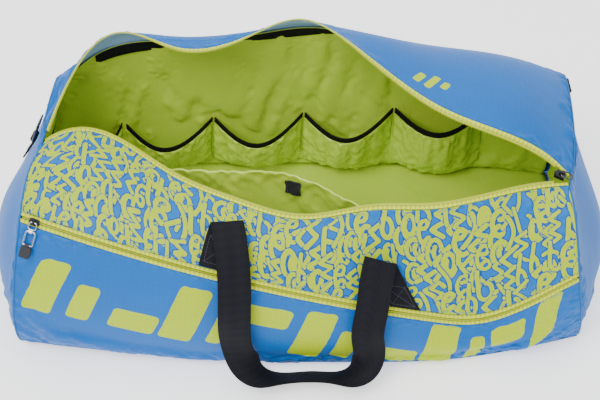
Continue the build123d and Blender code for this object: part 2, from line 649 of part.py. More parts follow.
def make_rings():
    """A ring in a webbing tab high on each end panel, for a shoulder strap."""
    for side, (u, low, high) in RING_PLACES.items():
        patch = ends[side]
        tab = Strap(patch, (u, low), (u, high), TAB_WIDTH)
        tab.turn = strap_turn(tab, patch, (u, low))
        strap = sheet(tab, (0, 1), (0, 1), WEBBING_LIFT + WEBBING_WALL, WEBBING_LIFT, 7, 5)
        radius = RING_WIRE / 2 + RING_CLEAR + WEBBING_WALL
        outward = tab.normal(1, 0.5)
        heading = unit(tab.point(1, 0.5) - tab.point(0.9, 0.5))
        heading = unit(heading - outward * np.dot(heading, outward))
        place = frame_at(tab.point(1, 0.5) + outward * (WEBBING_LIFT + radius), heading, outward)
        roll = sleeve(RING_WIRE, WEBBING_WALL, TAB_WIDTH)
        save(f"{side}_ring_tab", strap + place * roll)
        ring = wire_loop(RING_HEIGHT, RING_WIDTH, RING_WIRE, RING_WIRE * 1.4)
        leaning = place * Rot(0, -RING_LEAN, 0)
        save(f"{side}_ring", leaning * ring)
        report(f"{side}_ring", place.position, Plane(place).y_dir)


def report(name, point, direction):
    """Print a hinge's or slide's place and direction, for whoever sets up the joints."""
    place = [round(float(c), 3) for c in point]
    heading = [round(float(c), 5) for c in direction]
    print(f"JOINT {name} {place} {heading}")


if __name__ == "__main__":
    os.makedirs("parts", exist_ok=True)
    for job in (make_shell, make_base, make_linings, make_pouches, make_divider, make_main_zip, make_pocket_zip,
                make_main_slider, make_pocket_slider, make_handles, make_rings):
        job()
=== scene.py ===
"""A soft racket tournament bag that stands open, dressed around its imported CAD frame.

Units are metres.  X runs along the bag to its right end, the front faces -Y and Z points up.
Every sheet of cloth is a surface of two shares, u from left to right and v from the mouth down,
that passes through the same design lines as the CAD model.
"""
from __future__ import annotations

import logging
import math
from dataclasses import dataclass, field
from enum import Enum
from typing import Callable

import bpy
import numpy as np
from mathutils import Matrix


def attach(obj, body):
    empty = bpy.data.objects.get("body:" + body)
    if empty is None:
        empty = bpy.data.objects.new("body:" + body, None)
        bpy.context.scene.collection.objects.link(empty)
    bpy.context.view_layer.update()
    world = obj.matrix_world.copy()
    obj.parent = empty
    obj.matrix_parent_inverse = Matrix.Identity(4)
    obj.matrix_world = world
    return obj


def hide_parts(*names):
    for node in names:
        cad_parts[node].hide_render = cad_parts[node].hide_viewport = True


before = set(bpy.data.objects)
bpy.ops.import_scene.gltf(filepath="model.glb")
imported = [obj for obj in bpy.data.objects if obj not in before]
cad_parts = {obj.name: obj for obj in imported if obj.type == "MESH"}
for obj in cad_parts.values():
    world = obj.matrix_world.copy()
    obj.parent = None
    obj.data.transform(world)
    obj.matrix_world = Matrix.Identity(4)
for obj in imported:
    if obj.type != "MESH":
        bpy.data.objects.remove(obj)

LOG = logging.getLogger("racket_bag")
Array = np.ndarray
SIZE = np.array([0.36, 0.165, 0.200])      # half length, half depth and height of the bag
FLOOR_LIFT = 0.003
MM = 0.001
SEWN = 12 * MM          # creases die out over this distance from a seam
SLIDE = 3 * MM          # how far simulated cloth may move along itself
COARSE = 6.5 * MM       # grid of the simulated cloth
CRUMPLE = 0.6 * MM      # random unevenness that lets the cloth buckle
UNPRINTED = 20 * MM     # print distance where there is no ink


# --------------------------------------------------------------------------- shapes
def spline_weights(knots: Array, at: Array) -> Array:
    """Weights that turn values at knots into a smooth cubic curve.

    The second derivatives of the curve solve one linear system, in which the first two and the
    last two spans share one cubic.  A point between two knots blends both values and both
    second derivatives.

    Args:
        knots: The places of the values, rising.
        at: The places to evaluate.

    Returns:
        An array of the shape of at, with one weight for each knot on a last axis.
    """
    knots = np.asarray(knots, float)
    at = np.asarray(at, float)
    count = len(knots)
    gap = np.diff(knots)
    left = np.zeros((count, count))
    right = np.zeros((count, count))
    for k in range(1, count - 1):
        left[k, k - 1:k + 2] = gap[k - 1], 2 * (gap[k - 1] + gap[k]), gap[k]
        right[k, k - 1:k + 2] = 6 / gap[k - 1], -6 / gap[k - 1] - 6 / gap[k], 6 / gap[k]
    left[0, :3] = 1 / gap[0], -1 / gap[0] - 1 / gap[1], 1 / gap[1]
    left[-1, -3:] = 1 / gap[-2], -1 / gap[-2] - 1 / gap[-1], 1 / gap[-1]
    bend = np.linalg.solve(left, right)
    span = np.clip(np.searchsorted(knots, at) - 1, 0, count - 2)
    width = gap[span]
    near = (knots[span + 1] - at) / width
    far = 1 - near
    eye = np.eye(count)
    scale = (width ** 2 / 6)[..., None]
    return (near[..., None] * eye[span] + far[..., None] * eye[span + 1]
            + ((near ** 3 - near)[..., None] * bend[span]
               + (far ** 3 - far)[..., None] * bend[span + 1]) * scale)


def unit(vectors: Array) -> Array:
    """Vectors at a length of one."""
    return vectors / np.maximum(np.linalg.norm(vectors, axis=-1, keepdims=True), 1e-12)


@dataclass(frozen=True)
class Row:
    """A design line from the left end seam to the right one, in shares of the bag's size."""

    left: float
    right: float
    depths: tuple[float, ...]
    heights: tuple[float, ...] = ()

    def at(self, share: Array) -> Array:
        """Points on the line.

        Args:
            share: Shares along the line, from 0 at the left to 1 at the right.

        Returns:
            Points in metres, on a last axis of three.
        """
        share = np.asarray(share, float)
        x = (self.left + (self.right - self.left) * share) * SIZE[0]
        steps = np.linspace(0, 1, len(self.depths))
        y = spline_weights(steps, share) @ np.array(self.depths) * SIZE[1]
        if not self.heights:
            return np.stack([x, y, np.full_like(x, FLOOR_LIFT)], -1)
        steps = np.linspace(0, 1, len(self.heights))
        z = spline_weights(steps, share) @ np.array(self.heights) * SIZE[2]
        return np.stack([x, y, z], -1)


class ZipRow:
    """The pocket zip's line: one flat arc that falls to the right, then a tail that curls up."""

    def __init__(self, left: tuple, middle: tuple, low: tuple, tail: list[tuple]) -> None:
        """Find the arc's circle and sample the line.

        Args:
            left: The arc's start, in shares of the bag's size.
            middle: A point on the arc.
            low: The arc's end.
            tail: The tail's further points.
        """
        a, m, b = (np.array(p) * SIZE for p in (left, middle, low))
        p, q = a - m, b - m
        n = np.cross(p, q)
        self.centre = m + np.cross(p @ p * q - q @ q * p, n) / (2 * (n @ n))
        self.radius = float(np.linalg.norm(a - self.centre))
        self.axis = unit(np.cross(a - self.centre, b - self.centre))
        self.spoke = unit(a - self.centre)
        self.side = np.cross(self.axis, self.spoke)
        self.sweep = math.acos(float(self.spoke @ unit(b - self.centre)))
        arc = self.on_arc(np.linspace(0, self.sweep, 80))
        bends = np.vstack([arc[-12], arc[-6], b, np.array(tail) * SIZE])
        steps = np.concatenate([[0], np.cumsum(np.linalg.norm(np.diff(bends, axis=0), axis=1))])
        more = spline_weights(steps, np.linspace(steps[2], steps[-1], 40)[1:]) @ bends
        self.line = np.vstack([arc, more])

    def on_arc(self, angle: Array, lift: float = 0.0) -> Array:
        """Points on the arc at angles from its start, this far outside it."""
        angle = np.asarray(angle)[..., None]
        return self.centre + (self.radius + lift) * (np.cos(angle) * self.spoke + np.sin(angle) * self.side)

    def at(self, share: Array) -> Array:
        """Points of the line at shares of its extent along X."""
        x = self.line[0, 0] + (self.line[-1, 0] - self.line[0, 0]) * np.asarray(share, float)
        return np.stack([x] + [np.interp(x, self.line[:, 0], self.line[:, k]) for k in (1, 2)], -1)


class Surface:
    """A smooth surface of two shares; its normal points out of the bag."""

    turn: float = 1.0

    def point(self, u: Array, v: Array) -> Array:
        """Points at shares u and v."""
        raise NotImplementedError

    def normal(self, u: Array, v: Array, step: float = 0.004) -> Array:
        """Unit normals, from the cross product of the surface's two directions."""
        along = self.point(u + step, v) - self.point(u - step, v)
        down = self.point(u, v + step) - self.point(u, v - step)
        return unit(np.cross(along, down)) * self.turn

    def out(self, u: Array, v: Array, lift: Array | float) -> Array:
        """Points that stand this far out of the surface."""
        lift = np.asarray(lift, float)
        return self.point(u, v) + self.normal(u, v) * (lift[..., None] if lift.ndim else lift)

    def share_for(self, u: Array, v: Array, distance: float) -> Array:
        """How much v grows over a distance from a point."""
        step = 0.02
        speed = np.linalg.norm(self.point(u, v + step) - self.point(u, v), axis=-1) / step
        return distance / speed


class Skin(Surface):
    """The cloth through several rows; v counts the rows from the mouth down."""

    def __init__(self, rows: list[Row | ZipRow], turn: float) -> None:
        """Keep the rows.

        Args:
            rows: Design lines, from the mouth down.
            turn: 1 or -1, the side that is outside.
        """
        self.rows = rows
        self.turn = turn

    def point(self, u: Array, v: Array) -> Array:
        """Points at shares u and v: a cubic through one point of each row."""
        u, v = np.broadcast_arrays(np.asarray(u, float), np.asarray(v, float))
        weights = spline_weights(np.arange(len(self.rows)), v)
        knots = np.stack([row.at(u) for row in self.rows], -2)
        return np.einsum("...r,...rk->...k", weights, knots)


class EndPatch(Surface):
    """An end panel: u runs from the front seam to the back one, v from the base to the top."""

    BULGE = 0.036
    SAG = {-1: 0.018, 1: 0.0}

    def __init__(self, front: Skin, back: Skin, side: int) -> None:
        """Take the panel's four edges from the long panels.

        Args:
            front: The front's skin.
            back: The lid's and back's skin.
            side: -1 for the left end, 1 for the right one.
        """
        at = np.array(0.0 if side < 0 else 1.0)
        self.turn = side
        self.side = side
        self.front = np.stack([front.point(at, np.array(4 - 3 * k / 6)) for k in range(7)])
        self.back = np.stack([back.point(at, np.array(4 - 2 * k / 6)) for k in range(7)])
        crest = [front.point(at, np.array(v)) for v in (1, 0.5, 0.1)]
        crest += [back.point(at, np.array(v)) for v in (0.1, 0.5, 1, 1.5, 2)]
        self.crest = np.stack(crest)
        gaps = np.linalg.norm(np.diff(self.crest, axis=0), axis=1)
        self.crest_at = np.concatenate([[0], np.cumsum(gaps)]) / gaps.sum()

    def point(self, u: Array, v: Array) -> Array:
        """Points of the patch that blends its four edges, swollen out in the middle."""
        u, v = np.broadcast_arrays(np.asarray(u, float), np.asarray(v, float))
        a, b = u[..., None], v[..., None]
        upright = spline_weights(np.linspace(0, 1, 7), v)
        near, far = upright @ self.front, upright @ self.back
        top = spline_weights(self.crest_at, u) @ self.crest
        high = (1 - a) * self.front[-1] + a * self.back[-1]
        flat = b * top + (1 - a) * near + a * far - b * high
        along = np.sin(math.pi * u) * (1 + 0.35 * np.cos(math.pi * u))
        up = np.sin(math.pi * v) * (1 + 0.6 * np.cos(math.pi * v))
        sag = self.SAG[self.side] * np.exp(-((u - 0.62) / 0.2) ** 2 - ((v - 0.72) / 0.22) ** 2)
        swell = self.BULGE * along * up - sag * np.sin(math.pi * u) * np.sin(math.pi * v)
        flat[..., 0] += self.side * swell
        return flat


class Pouch(Surface):
    """A pouch on the back wall: u runs across it and v from its mouth down."""

    BOW = 0.044
    LIFT = 0.0078

    def __init__(self, wall: Skin, left: float, right: float) -> None:
        """Keep the wall and the pouch's two seams, as shares along the bag."""
        self.wall = wall
        self.left = left
        self.right = right
        self.turn = wall.turn

    def point(self, u: Array, v: Array) -> Array:
        """Points that bow off the wall, most at the mouth, with a mouth that dips between its seams."""
        u, v = np.broadcast_arrays(np.asarray(u, float), np.asarray(v, float))
        s = self.left + (self.right - self.left) * u
        bow = np.sin(math.pi * u)
        mouth = spline_weights(np.array([0, 0.3, 0.6, 1]), s) @ np.array([3.14, 3.12, 3.0, 3.0]) + 0.12 * bow
        t = mouth + (3.84 - mouth) * v
        return self.wall.out(s, t, -(self.LIFT + self.BOW * bow * (1 - 0.55 * v * np.abs(v))))


class DividerWall(Surface):
    """The soft wall between the two racket bays: u runs along it and v from its foot up."""

    turn = 1.0
    ENDS = (-0.87, 0.87)
    DEPTHS = np.array([0.12, 0.10, 0.08, 0.06, 0.00, -0.30, -0.48, -0.42, -0.30])
    HEIGHTS = np.array([0.80, 0.76, 0.75, 0.75, 0.75, 0.74, 0.76, 0.78, 0.80])
    FOOT = 0.0095
    LEAN = -0.12

    def point(self, u: Array, v: Array) -> Array:
        """Points between a straight foot and a wavy top edge, leaning more towards the top."""
        u, v = np.broadcast_arrays(np.asarray(u, float), np.asarray(v, float))
        weights = spline_weights(np.linspace(0, 1, 9), u)
        x = (self.ENDS[0] + (self.ENDS[1] - self.ENDS[0]) * u) * SIZE[0]
        z = self.FOOT + (weights @ self.HEIGHTS * SIZE[2] - self.FOOT) * v
        foot = self.LEAN * SIZE[1]
        y = foot + (weights @ self.DEPTHS * SIZE[1] - foot) * np.maximum(v, 0) ** 1.3
        return np.stack([x, y, z], -1)


class Strap(Surface):
    """A flat strap sewn on a skin: u runs from its foot to its fold, v across it."""

    def __init__(self, skin: Surface, foot: tuple[float, float], fold: tuple[float, float], width: float) -> None:
        """Keep the strap's two ends, as shares of the skin, and its width in metres."""
        self.skin = skin
        self.foot = np.array(foot)
        self.fold = np.array(fold)
        self.width = width
        self.turn = 1.0
        middle = np.array(0.5)
        agree = self.normal(middle, middle) @ skin.normal(np.array(foot[0]), np.array(foot[1]))
        self.turn = 1.0 if agree > 0 else -1.0

    def point(self, u: Array, v: Array) -> Array:
        """Points of the skin beside the strap's middle line."""
        u, v = np.broadcast_arrays(np.asarray(u, float), np.asarray(v, float))
        s = self.foot[0] + (self.fold[0] - self.foot[0]) * u
        t = self.foot[1] + (self.fold[1] - self.foot[1]) * u
        speed = np.linalg.norm(self.skin.point(s + 0.01, t) - self.skin.point(s - 0.01, t), axis=-1) / 0.02
        return self.skin.point(s + (v - 0.5) * self.width / speed, t)


class Ribbon(Surface):
    """A strip of webbing along a free curve: u runs along it and v across it."""

    def __init__(self, path: Array, across: Array, width: float) -> None:
        """Keep the path's points, the direction across the strip at each, and its width."""
        self.path = path
        self.across = across
        self.width = width
        gaps = np.linalg.norm(np.diff(path, axis=0), axis=1)
        self.share = np.concatenate([[0], np.cumsum(gaps)]) / gaps.sum()

    def point(self, u: Array, v: Array) -> Array:
        """Points of the strip, which stays square to the path."""
        u, v = np.broadcast_arrays(np.asarray(u, float), np.asarray(v, float))
        weights = spline_weights(self.share, u)
        heading = unit((spline_weights(self.share, u + 1e-3) - spline_weights(self.share, u - 1e-3)) @ self.path)
        across = weights @ self.across
        across = unit(across - heading * np.sum(across * heading, -1, keepdims=True))
        return weights @ self.path + across * (self.width * (v - 0.5))[..., None]


# --------------------------------------------------------------------------- the bag's lines
FRONT_TOP = Row(-0.883, 0.905, (0.04, 0.145, -0.21, -0.45, -0.60, -0.53, -0.53, -0.42, -0.36),
                (1.055, 1.015, 0.985, 0.96, 0.95, 0.97, 0.99, 1.005, 1.03))
FRONT_SHOULDER = Row(-0.919, 0.922, (-0.29, -0.38, -0.62, -0.78, -0.87, -0.85, -0.83, -0.77, -0.70),
                     (1.065, 1.07, 0.99, 0.91, 0.86, 0.81, 0.74, 0.76, 0.94))
POCKET_ZIP = ZipRow((-0.936, -0.64, 0.965), (-0.222, -1.018, 0.745), (0.475, -1.042, 0.39),
                    [(0.606, -1.02, 0.35), (0.739, -0.985, 0.425), (0.86, -0.95, 0.57), (0.944, -0.91, 0.66)])
POCKET_BULGE = Row(-0.978, 0.975, (-0.97, -1.07, -1.14, -1.18, -1.19, -1.19, -1.16, -1.10, -0.96),
                   (0.50, 0.50, 0.46, 0.40, 0.34, 0.28, 0.21, 0.23, 0.33))
FRONT_FOOT = Row(-0.980, 0.995, (-0.91, -0.99, -1.05, -1.09, -1.11, -1.11, -1.09, -1.00, -0.86))
LID_EDGE = Row(-0.878, 0.905, (0.10, 0.85, 0.68, 0.74, 0.84, 0.44, 0.02, -0.17, -0.33),
               (1.06, 1.35, 1.325, 1.365, 1.47, 1.42, 1.32, 1.235, 1.04))
LID_CROWN = Row(-0.894, 0.965, (0.45, 0.98, 0.92, 0.95, 1.02, 0.82, 0.55, 0.38, 0.24),
                (1.06, 1.24, 1.28, 1.30, 1.32, 1.35, 1.33, 1.27, 1.03))
BACK_TOP = Row(-0.894, 0.975, (0.84, 1.00, 1.04, 1.05, 1.06, 1.06, 1.05, 1.02, 0.89),
               (0.97, 1.02, 1.06, 1.08, 1.09, 1.09, 1.07, 1.04, 0.96))
BACK_BULGE = Row(-0.972, 0.995, (0.93, 1.02, 1.05, 1.06, 1.06, 1.06, 1.05, 1.02, 0.94),
                 (0.50, 0.52, 0.53, 0.53, 0.53, 0.53, 0.53, 0.52, 0.50))
BACK_FOOT = Row(-0.985, 0.995, (0.90, 0.98, 1.01, 1.02, 1.02, 1.02, 1.01, 0.98, 0.90))

FRONT = Skin([FRONT_TOP, FRONT_SHOULDER, POCKET_ZIP, POCKET_BULGE, FRONT_FOOT], -1)
BACK = Skin([LID_EDGE, LID_CROWN, BACK_TOP, BACK_BULGE, BACK_FOOT], 1)
ENDS = {"left": EndPatch(FRONT, BACK, -1), "right": EndPatch(FRONT, BACK, 1)}
DIVIDER = DividerWall()
LENGTH, DEPTH, HEIGHT = 2 * SIZE[0], 2 * SIZE[1], SIZE[2]
SEAM_GAP = 0.6 * MM
SHELL_WALL = 1.2 * MM
LINING_WALL = 0.8 * MM
LINING_GAP = 6 * MM
MAIN_TAPE = 8 * MM
COIL_WIDTH = 2.6 * MM
COIL_WALL = 2 * MM
TAPE_WALL = 0.9 * MM
ZIP_GAP = 0.35 * MM
POCKET_TAPE = 4.6 * MM
BACK_SEAM = 2.5
FOOT_SHARE = 3.985
ZIP_ROW = 2.0
Limit = Callable[[Array], Array]


def below(surface: Surface, start: float | Limit, distance: float) -> Limit:
    """The share that lies a distance below another share, for each u."""
    def limit(u: Array) -> Array:
        v = start(u) if callable(start) else np.full_like(u, start)
        return v + surface.share_for(u, v, distance)
    return limit


def lining_top(u: Array) -> Array:
    """The row of the rear lining's top edge."""
    return spline_weights(np.linspace(0, 1, 5), u) @ np.array([1.20, 1.38, 1.08, 1.10, 1.20])


# --------------------------------------------------------------------------- finishes
def linear(code: str) -> tuple[float, float, float, float]:
    """An sRGB hex colour as linear light."""
    parts = [int(code[k:k + 2], 16) / 255 for k in (1, 3, 5)]
    lit = [c / 12.92 if c <= 0.04045 else ((c + 0.055) / 1.055) ** 2.4 for c in parts]
    return (lit[0], lit[1], lit[2], 1.0)


def add(tree: bpy.types.NodeTree, kind: str, inputs: dict | None = None, **settings) -> bpy.types.Node:
    """Add one node with its settings, values and links.

    Args:
        tree: The material's tree.
        kind: The node's type name.
        inputs: Values or sockets by the input's name or number.
        **settings: The node's own properties.

    Returns:
        The new node.
    """
    node = tree.nodes.new(kind)
    for key, value in settings.items():
        setattr(node, key, value)
    for key, value in (inputs or {}).items():
        if isinstance(value, bpy.types.NodeSocket):
            tree.links.new(value, node.inputs[key])
        else:
            node.inputs[key].default_value = value
    return node


class Space(Enum):
    """What a pattern is fastened to."""

    OBJECT = "Object"
    CLOTH = "UV"


def start_material(name: str) -> tuple[bpy.types.Material, bpy.types.NodeTree, bpy.types.Node]:
    """A new material with its tree and shader."""
    material = bpy.data.materials.new(name)
    material.use_nodes = True
    return material, material.node_tree, material.node_tree.nodes["Principled BSDF"]


def shift(tree: bpy.types.NodeTree, colour: bpy.types.NodeSocket, amount: bpy.types.NodeSocket,
          low: float, high: float) -> bpy.types.NodeSocket:
    """A colour made darker or lighter, from low to high times as bright, by an amount from 0 to 1."""
    scale = add(tree, "ShaderNodeMapRange", {"Value": amount, "To Min": low, "To Max": high})
    return add(tree, "ShaderNodeVectorMath", {0: colour, "Scale": scale.outputs[0]}, operation="SCALE").outputs[0]


@dataclass(frozen=True)
class Cloth:
    """Woven polyester or nylon cloth, coated or bare.

    Two crossed sets of yarn give a fine weave, with painted shade in its hollows and a painted
    highlight on its tops, and slow clouds give the uneven dye and the wear that handling leaves.
    A coated face has a soft gloss, and a filament nylon a sharper one.
    """

    name: str
    colour: str
    second: str
    yarn_mm: float = 1.1
    roughness: float = 0.45
    gloss: float = 0.22
    weave: float = 0.12
    crush: float = 0.35
    crush_mm: float = 18.0
    ink: str = ""
    ink_second: str = ""
    outline: str = ""

    def build(self) -> bpy.types.Material:
        """Make the material."""
        material, tree, shader = start_material(self.name)
        place = add(tree, "ShaderNodeTexCoord").outputs["UV"]
        solid = add(tree, "ShaderNodeTexCoord").outputs["Object"]
        clouds = add(tree, "ShaderNodeTexNoise", {"Vector": solid, "Scale": 9.0, "Detail": 4.0, "Roughness": 0.6})
        fine = add(tree, "ShaderNodeTexNoise", {"Vector": place, "Scale": 420.0, "Detail": 3.0, "Roughness": 0.65})
        colour = add(tree, "ShaderNodeMix", {"Factor": clouds.outputs[0], 6: linear(self.colour),
                                             7: linear(self.second)}, data_type="RGBA").outputs[2]
        if self.ink:
            colour = self.printed(tree, colour, fine.outputs[0])
        threads = self.threads(tree, place)
        colour = shift(tree, colour, fine.outputs[0], 0.93, 1.06)
        # painted shade and highlight: the weave's hollows are drawn up to 3% darker and its yarn tops up to 2% lighter
        colour = shift(tree, colour, threads, 0.97, 1.02)
        tree.links.new(colour, shader.inputs["Base Color"])
        rough = add(tree, "ShaderNodeMapRange", {"Value": clouds.outputs[0], "From Min": 0.3, "From Max": 0.7,
                                                 "To Min": self.roughness - 0.06, "To Max": self.roughness + 0.08})
        tree.links.new(rough.outputs[0], shader.inputs["Roughness"])
        shader.inputs["Specular IOR Level"].default_value = self.gloss
        creases = add(tree, "ShaderNodeTexNoise", {"Vector": solid, "Scale": 1000 / self.crush_mm, "Detail": 5.0,
                                                   "Roughness": 0.55, "Distortion": 0.6})
        soft = add(tree, "ShaderNodeBump", {"Height": creases.outputs[0], "Strength": self.crush, "Distance": 0.0012})
        bump = add(tree, "ShaderNodeBump", {"Height": threads, "Strength": self.weave, "Distance": 0.00025,
                                            "Normal": soft.outputs[0]})
        tree.links.new(bump.outputs[0], shader.inputs["Normal"])
        return material

    def threads(self, tree: bpy.types.NodeTree, place: bpy.types.NodeSocket) -> bpy.types.NodeSocket:
        """The height of two crossed sets of yarn, drawn a little coarse so that it shows."""
        heights = []
        for axis in ("X", "Y"):
            heights.append(add(tree, "ShaderNodeTexWave", {
                "Vector": place, "Scale": 1000 / self.yarn_mm / 20, "Distortion": 0.5, "Detail": 1.0,
                "Detail Scale": 2.0}, wave_type="BANDS", bands_direction=axis).outputs["Fac"])
        return add(tree, "ShaderNodeMath", {0: heights[0], 1: heights[1]}, operation="MULTIPLY").outputs[0]

    def printed(self, tree: bpy.types.NodeTree, ground: bpy.types.NodeSocket,
                speckle: bpy.types.NodeSocket) -> bpy.types.NodeSocket:
        """Lay ink over the ground where the edge distance is below zero, with a thin dark line round it."""
        edge = add(tree, "ShaderNodeAttribute", attribute_name="print_edge").outputs["Fac"]
        ink = add(tree, "ShaderNodeMix", {"Factor": speckle, 6: linear(self.ink), 7: linear(self.ink_second)},
                  data_type="RGBA").outputs[2]
        line = add(tree, "ShaderNodeMapRange", {"Value": edge, "From Min": 0.0009, "From Max": 0.0016,
                                                "To Min": 1.0, "To Max": 0.0})
        lined = add(tree, "ShaderNodeMix", {"Factor": line.outputs[0], 6: ground, 7: linear(self.outline)},
                    data_type="RGBA").outputs[2]
        inside = add(tree, "ShaderNodeMapRange", {"Value": edge, "From Min": -0.0002, "From Max": 0.0002,
                                                  "To Min": 1.0, "To Max": 0.0})
        return add(tree, "ShaderNodeMix", {"Factor": inside.outputs[0], 6: lined, 7: ink},
                   data_type="RGBA").outputs[2]


@dataclass(frozen=True)
class Ribbed:
    """Polypropylene or elastic webbing: fine cross ribs between lengthwise cords, with painted shade in the grooves
    and a painted highlight on the rib tops, matt and dusty at the edges.
    """

    name: str
    colour: str
    second: str
    rib_mm: float = 1.5
    roughness: float = 0.75
    depth: float = 0.0004
    space: Space = Space.CLOTH

    def build(self) -> bpy.types.Material:
        """Make the material; u runs along the strip and v across it, both in metres."""
        material, tree, shader = start_material(self.name)
        place = add(tree, "ShaderNodeTexCoord").outputs[self.space.value]
        ribs = add(tree, "ShaderNodeTexWave", {"Vector": place, "Scale": 1000 / self.rib_mm / 20, "Distortion": 0.3,
                                               "Detail": 2.0}, bands_direction="X")
        cords = add(tree, "ShaderNodeTexWave", {"Vector": place, "Scale": 1000 / self.rib_mm / 34, "Distortion": 0.2,
                                                "Detail": 1.0}, bands_direction="Y")
        height = add(tree, "ShaderNodeMath", {0: ribs.outputs["Fac"], 1: cords.outputs["Fac"]}, operation="ADD")
        dust = add(tree, "ShaderNodeTexNoise", {"Vector": place, "Scale": 60.0, "Detail": 6.0, "Roughness": 0.7})
        colour = add(tree, "ShaderNodeMix", {"Factor": dust.outputs[0], 6: linear(self.colour),
                                             7: linear(self.second)}, data_type="RGBA").outputs[2]
        half = add(tree, "ShaderNodeMath", {0: height.outputs[0], 1: 0.5}, operation="MULTIPLY")
        # painted shade and highlight: the colour goes down to 0.6 times in the grooves between ribs and cords and up
        # to 1.25 times on their tops
        colour = shift(tree, colour, half.outputs[0], 0.6, 1.25)
        bump = add(tree, "ShaderNodeBump", {"Height": half.outputs[0], "Strength": 0.6, "Distance": self.depth})
        tree.links.new(colour, shader.inputs["Base Color"])
        tree.links.new(bump.outputs[0], shader.inputs["Normal"])
        shader.inputs["Roughness"].default_value = self.roughness
        shader.inputs["Specular IOR Level"].default_value = 0.2
        return material


@dataclass(frozen=True)
class Hard:
    """Die-cast zinc, steel wire, moulded rubber or nylon: an even body colour with fine wear in its gloss."""

    name: str
    colour: str
    second: str
    metallic: float = 0.0
    roughness: float = 0.4
    grain_mm: float = 2.0
    bump: float = 0.15
    coat: float = 0.0

    def build(self) -> bpy.types.Material:
        """Make the material."""
        material, tree, shader = start_material(self.name)
        place = add(tree, "ShaderNodeTexCoord").outputs["Object"]
        wear = add(tree, "ShaderNodeTexNoise", {"Vector": place, "Scale": 1000 / self.grain_mm, "Detail": 5.0,
                                                "Roughness": 0.6})
        colour = add(tree, "ShaderNodeMix", {"Factor": wear.outputs[0], 6: linear(self.colour),
                                             7: linear(self.second)}, data_type="RGBA").outputs[2]
        rough = add(tree, "ShaderNodeMapRange", {"Value": wear.outputs[0], "From Min": 0.3, "From Max": 0.7,
                                                 "To Min": self.roughness - 0.07, "To Max": self.roughness + 0.1})
        bump = add(tree, "ShaderNodeBump", {"Height": wear.outputs[0], "Strength": self.bump, "Distance": 0.0002})
        tree.links.new(colour, shader.inputs["Base Color"])
        tree.links.new(rough.outputs[0], shader.inputs["Roughness"])
        tree.links.new(bump.outputs[0], shader.inputs["Normal"])
        shader.inputs["Metallic"].default_value = self.metallic
        shader.inputs["Coat Weight"].default_value = self.coat
        return material


class Finish(Enum):
    """The bag's finishes."""

    SHELL = Cloth("coated_polyester_blue", "#0059a8", "#0068ba", roughness=0.52)
    PRINTED = Cloth("coated_polyester_scribble_print", "#0062b0", "#0070c0", roughness=0.52,
                    ink="#a4bc00", ink_second="#b2c800", outline="#004a90")
    POCKET = Cloth("coated_polyester_bold_print", "#0059a8", "#0068ba", roughness=0.50,
                   ink="#a8c000", ink_second="#b4ca00", outline="#0062a6")
    FACING = Cloth("pale_blue_facing", "#8fb8e6", "#a0c6ee", roughness=0.55)
    LINING = Cloth("lime_filament_nylon", "#b3cf34", "#c4dd4f", yarn_mm=0.8, roughness=0.30, gloss=0.6, crush=0.5,
                   crush_mm=26.0, weave=0.1)
    TAPE = Ribbed("zip_tape_lime", "#c2cf20", "#cdd832", rib_mm=0.9, roughness=0.6, depth=0.0002)
    COIL = Hard("nylon_coil_lime", "#b8c41c", "#c8d232", roughness=0.35, grain_mm=1.0)
    WEBBING = Ribbed("polypropylene_webbing_navy", "#0a0b13", "#0f1019", rib_mm=1.8)
    TAB_WEBBING = Ribbed("polypropylene_tab_navy", "#0a0b13", "#0f1019", rib_mm=1.8, space=Space.OBJECT)
    BINDING = Ribbed("grosgrain_black", "#08080c", "#0c0c12", rib_mm=1.3)
    ELASTIC = Ribbed("knitted_elastic_black", "#07070b", "#0b0b11", rib_mm=2.2, depth=0.0006)
    PIPING = Cloth("seam_tape_dark_blue", "#0a5a9c", "#0c66ac", roughness=0.5)
    THREAD = Hard("bonded_nylon_thread_blue", "#0f6fb4", "#1a80c8", roughness=0.5, grain_mm=0.8)
    DARK_THREAD = Hard("bonded_nylon_thread_black", "#2c2f3e", "#3a3d4d", roughness=0.55, grain_mm=0.8)
    BOARD = Hard("hardboard_dark", "#2a2a2c", "#343436", roughness=0.7)
    PATCH = Hard("hook_tape_black", "#101116", "#1d1e25", roughness=0.85, grain_mm=0.9, bump=0.9)
    RING = Hard("steel_wire_gunmetal", "#4d4e55", "#6a6b72", metallic=1.0, roughness=0.32)
    SLIDER = Hard("zinc_slider_black", "#2b2c32", "#3d3e45", metallic=0.8, roughness=0.38, coat=0.2)
    PULL = Hard("steel_wire_nickel", "#b9b8bd", "#cfcdd2", metallic=1.0, roughness=0.25)
    RUBBER = Hard("moulded_rubber_black", "#17181d", "#202127", roughness=0.55, grain_mm=0.7, bump=0.3)


MADE: dict[Finish, bpy.types.Material] = {}


def material(finish: Finish) -> bpy.types.Material:
    """The material of a finish, made once."""
    if finish not in MADE:
        MADE[finish] = finish.value.build()
    return MADE[finish]


# --------------------------------------------------------------------------- meshes
def make_object(name: str, points: Array, faces: Array, finish: Finish, smooth: bool = True) -> bpy.types.Object:
    """An object with its mesh in place.

    Args:
        name: The piece's name.
        points: Vertices, one row each.
        faces: Corner numbers of four-sided faces, one row each.
        finish: What it is made of.
        smooth: Whether it is shaded smooth.

    Returns:
        The object, in the scene.
    """
    mesh = bpy.data.meshes.new(name)
    mesh.from_pydata(points.reshape(-1, 3), [], faces.reshape(-1, 4))
    mesh.update()
    mesh.shade_smooth() if smooth else mesh.shade_flat()
    mesh.materials.append(material(finish))
    piece = bpy.data.objects.new(name, mesh)
    bpy.context.scene.collection.objects.link(piece)
    return piece


def grid_faces(rows: int, columns: int, close_rows: bool = False) -> Array:
    """Corner numbers of a grid's faces; closed rows join the last row to the first."""
    numbers = np.arange(rows * columns).reshape(rows, columns)
    if close_rows:
        numbers = np.vstack([numbers, numbers[:1]])
    return np.stack([numbers[:-1, :-1], numbers[1:, :-1], numbers[1:, 1:], numbers[:-1, 1:]], -1).reshape(-1, 4)


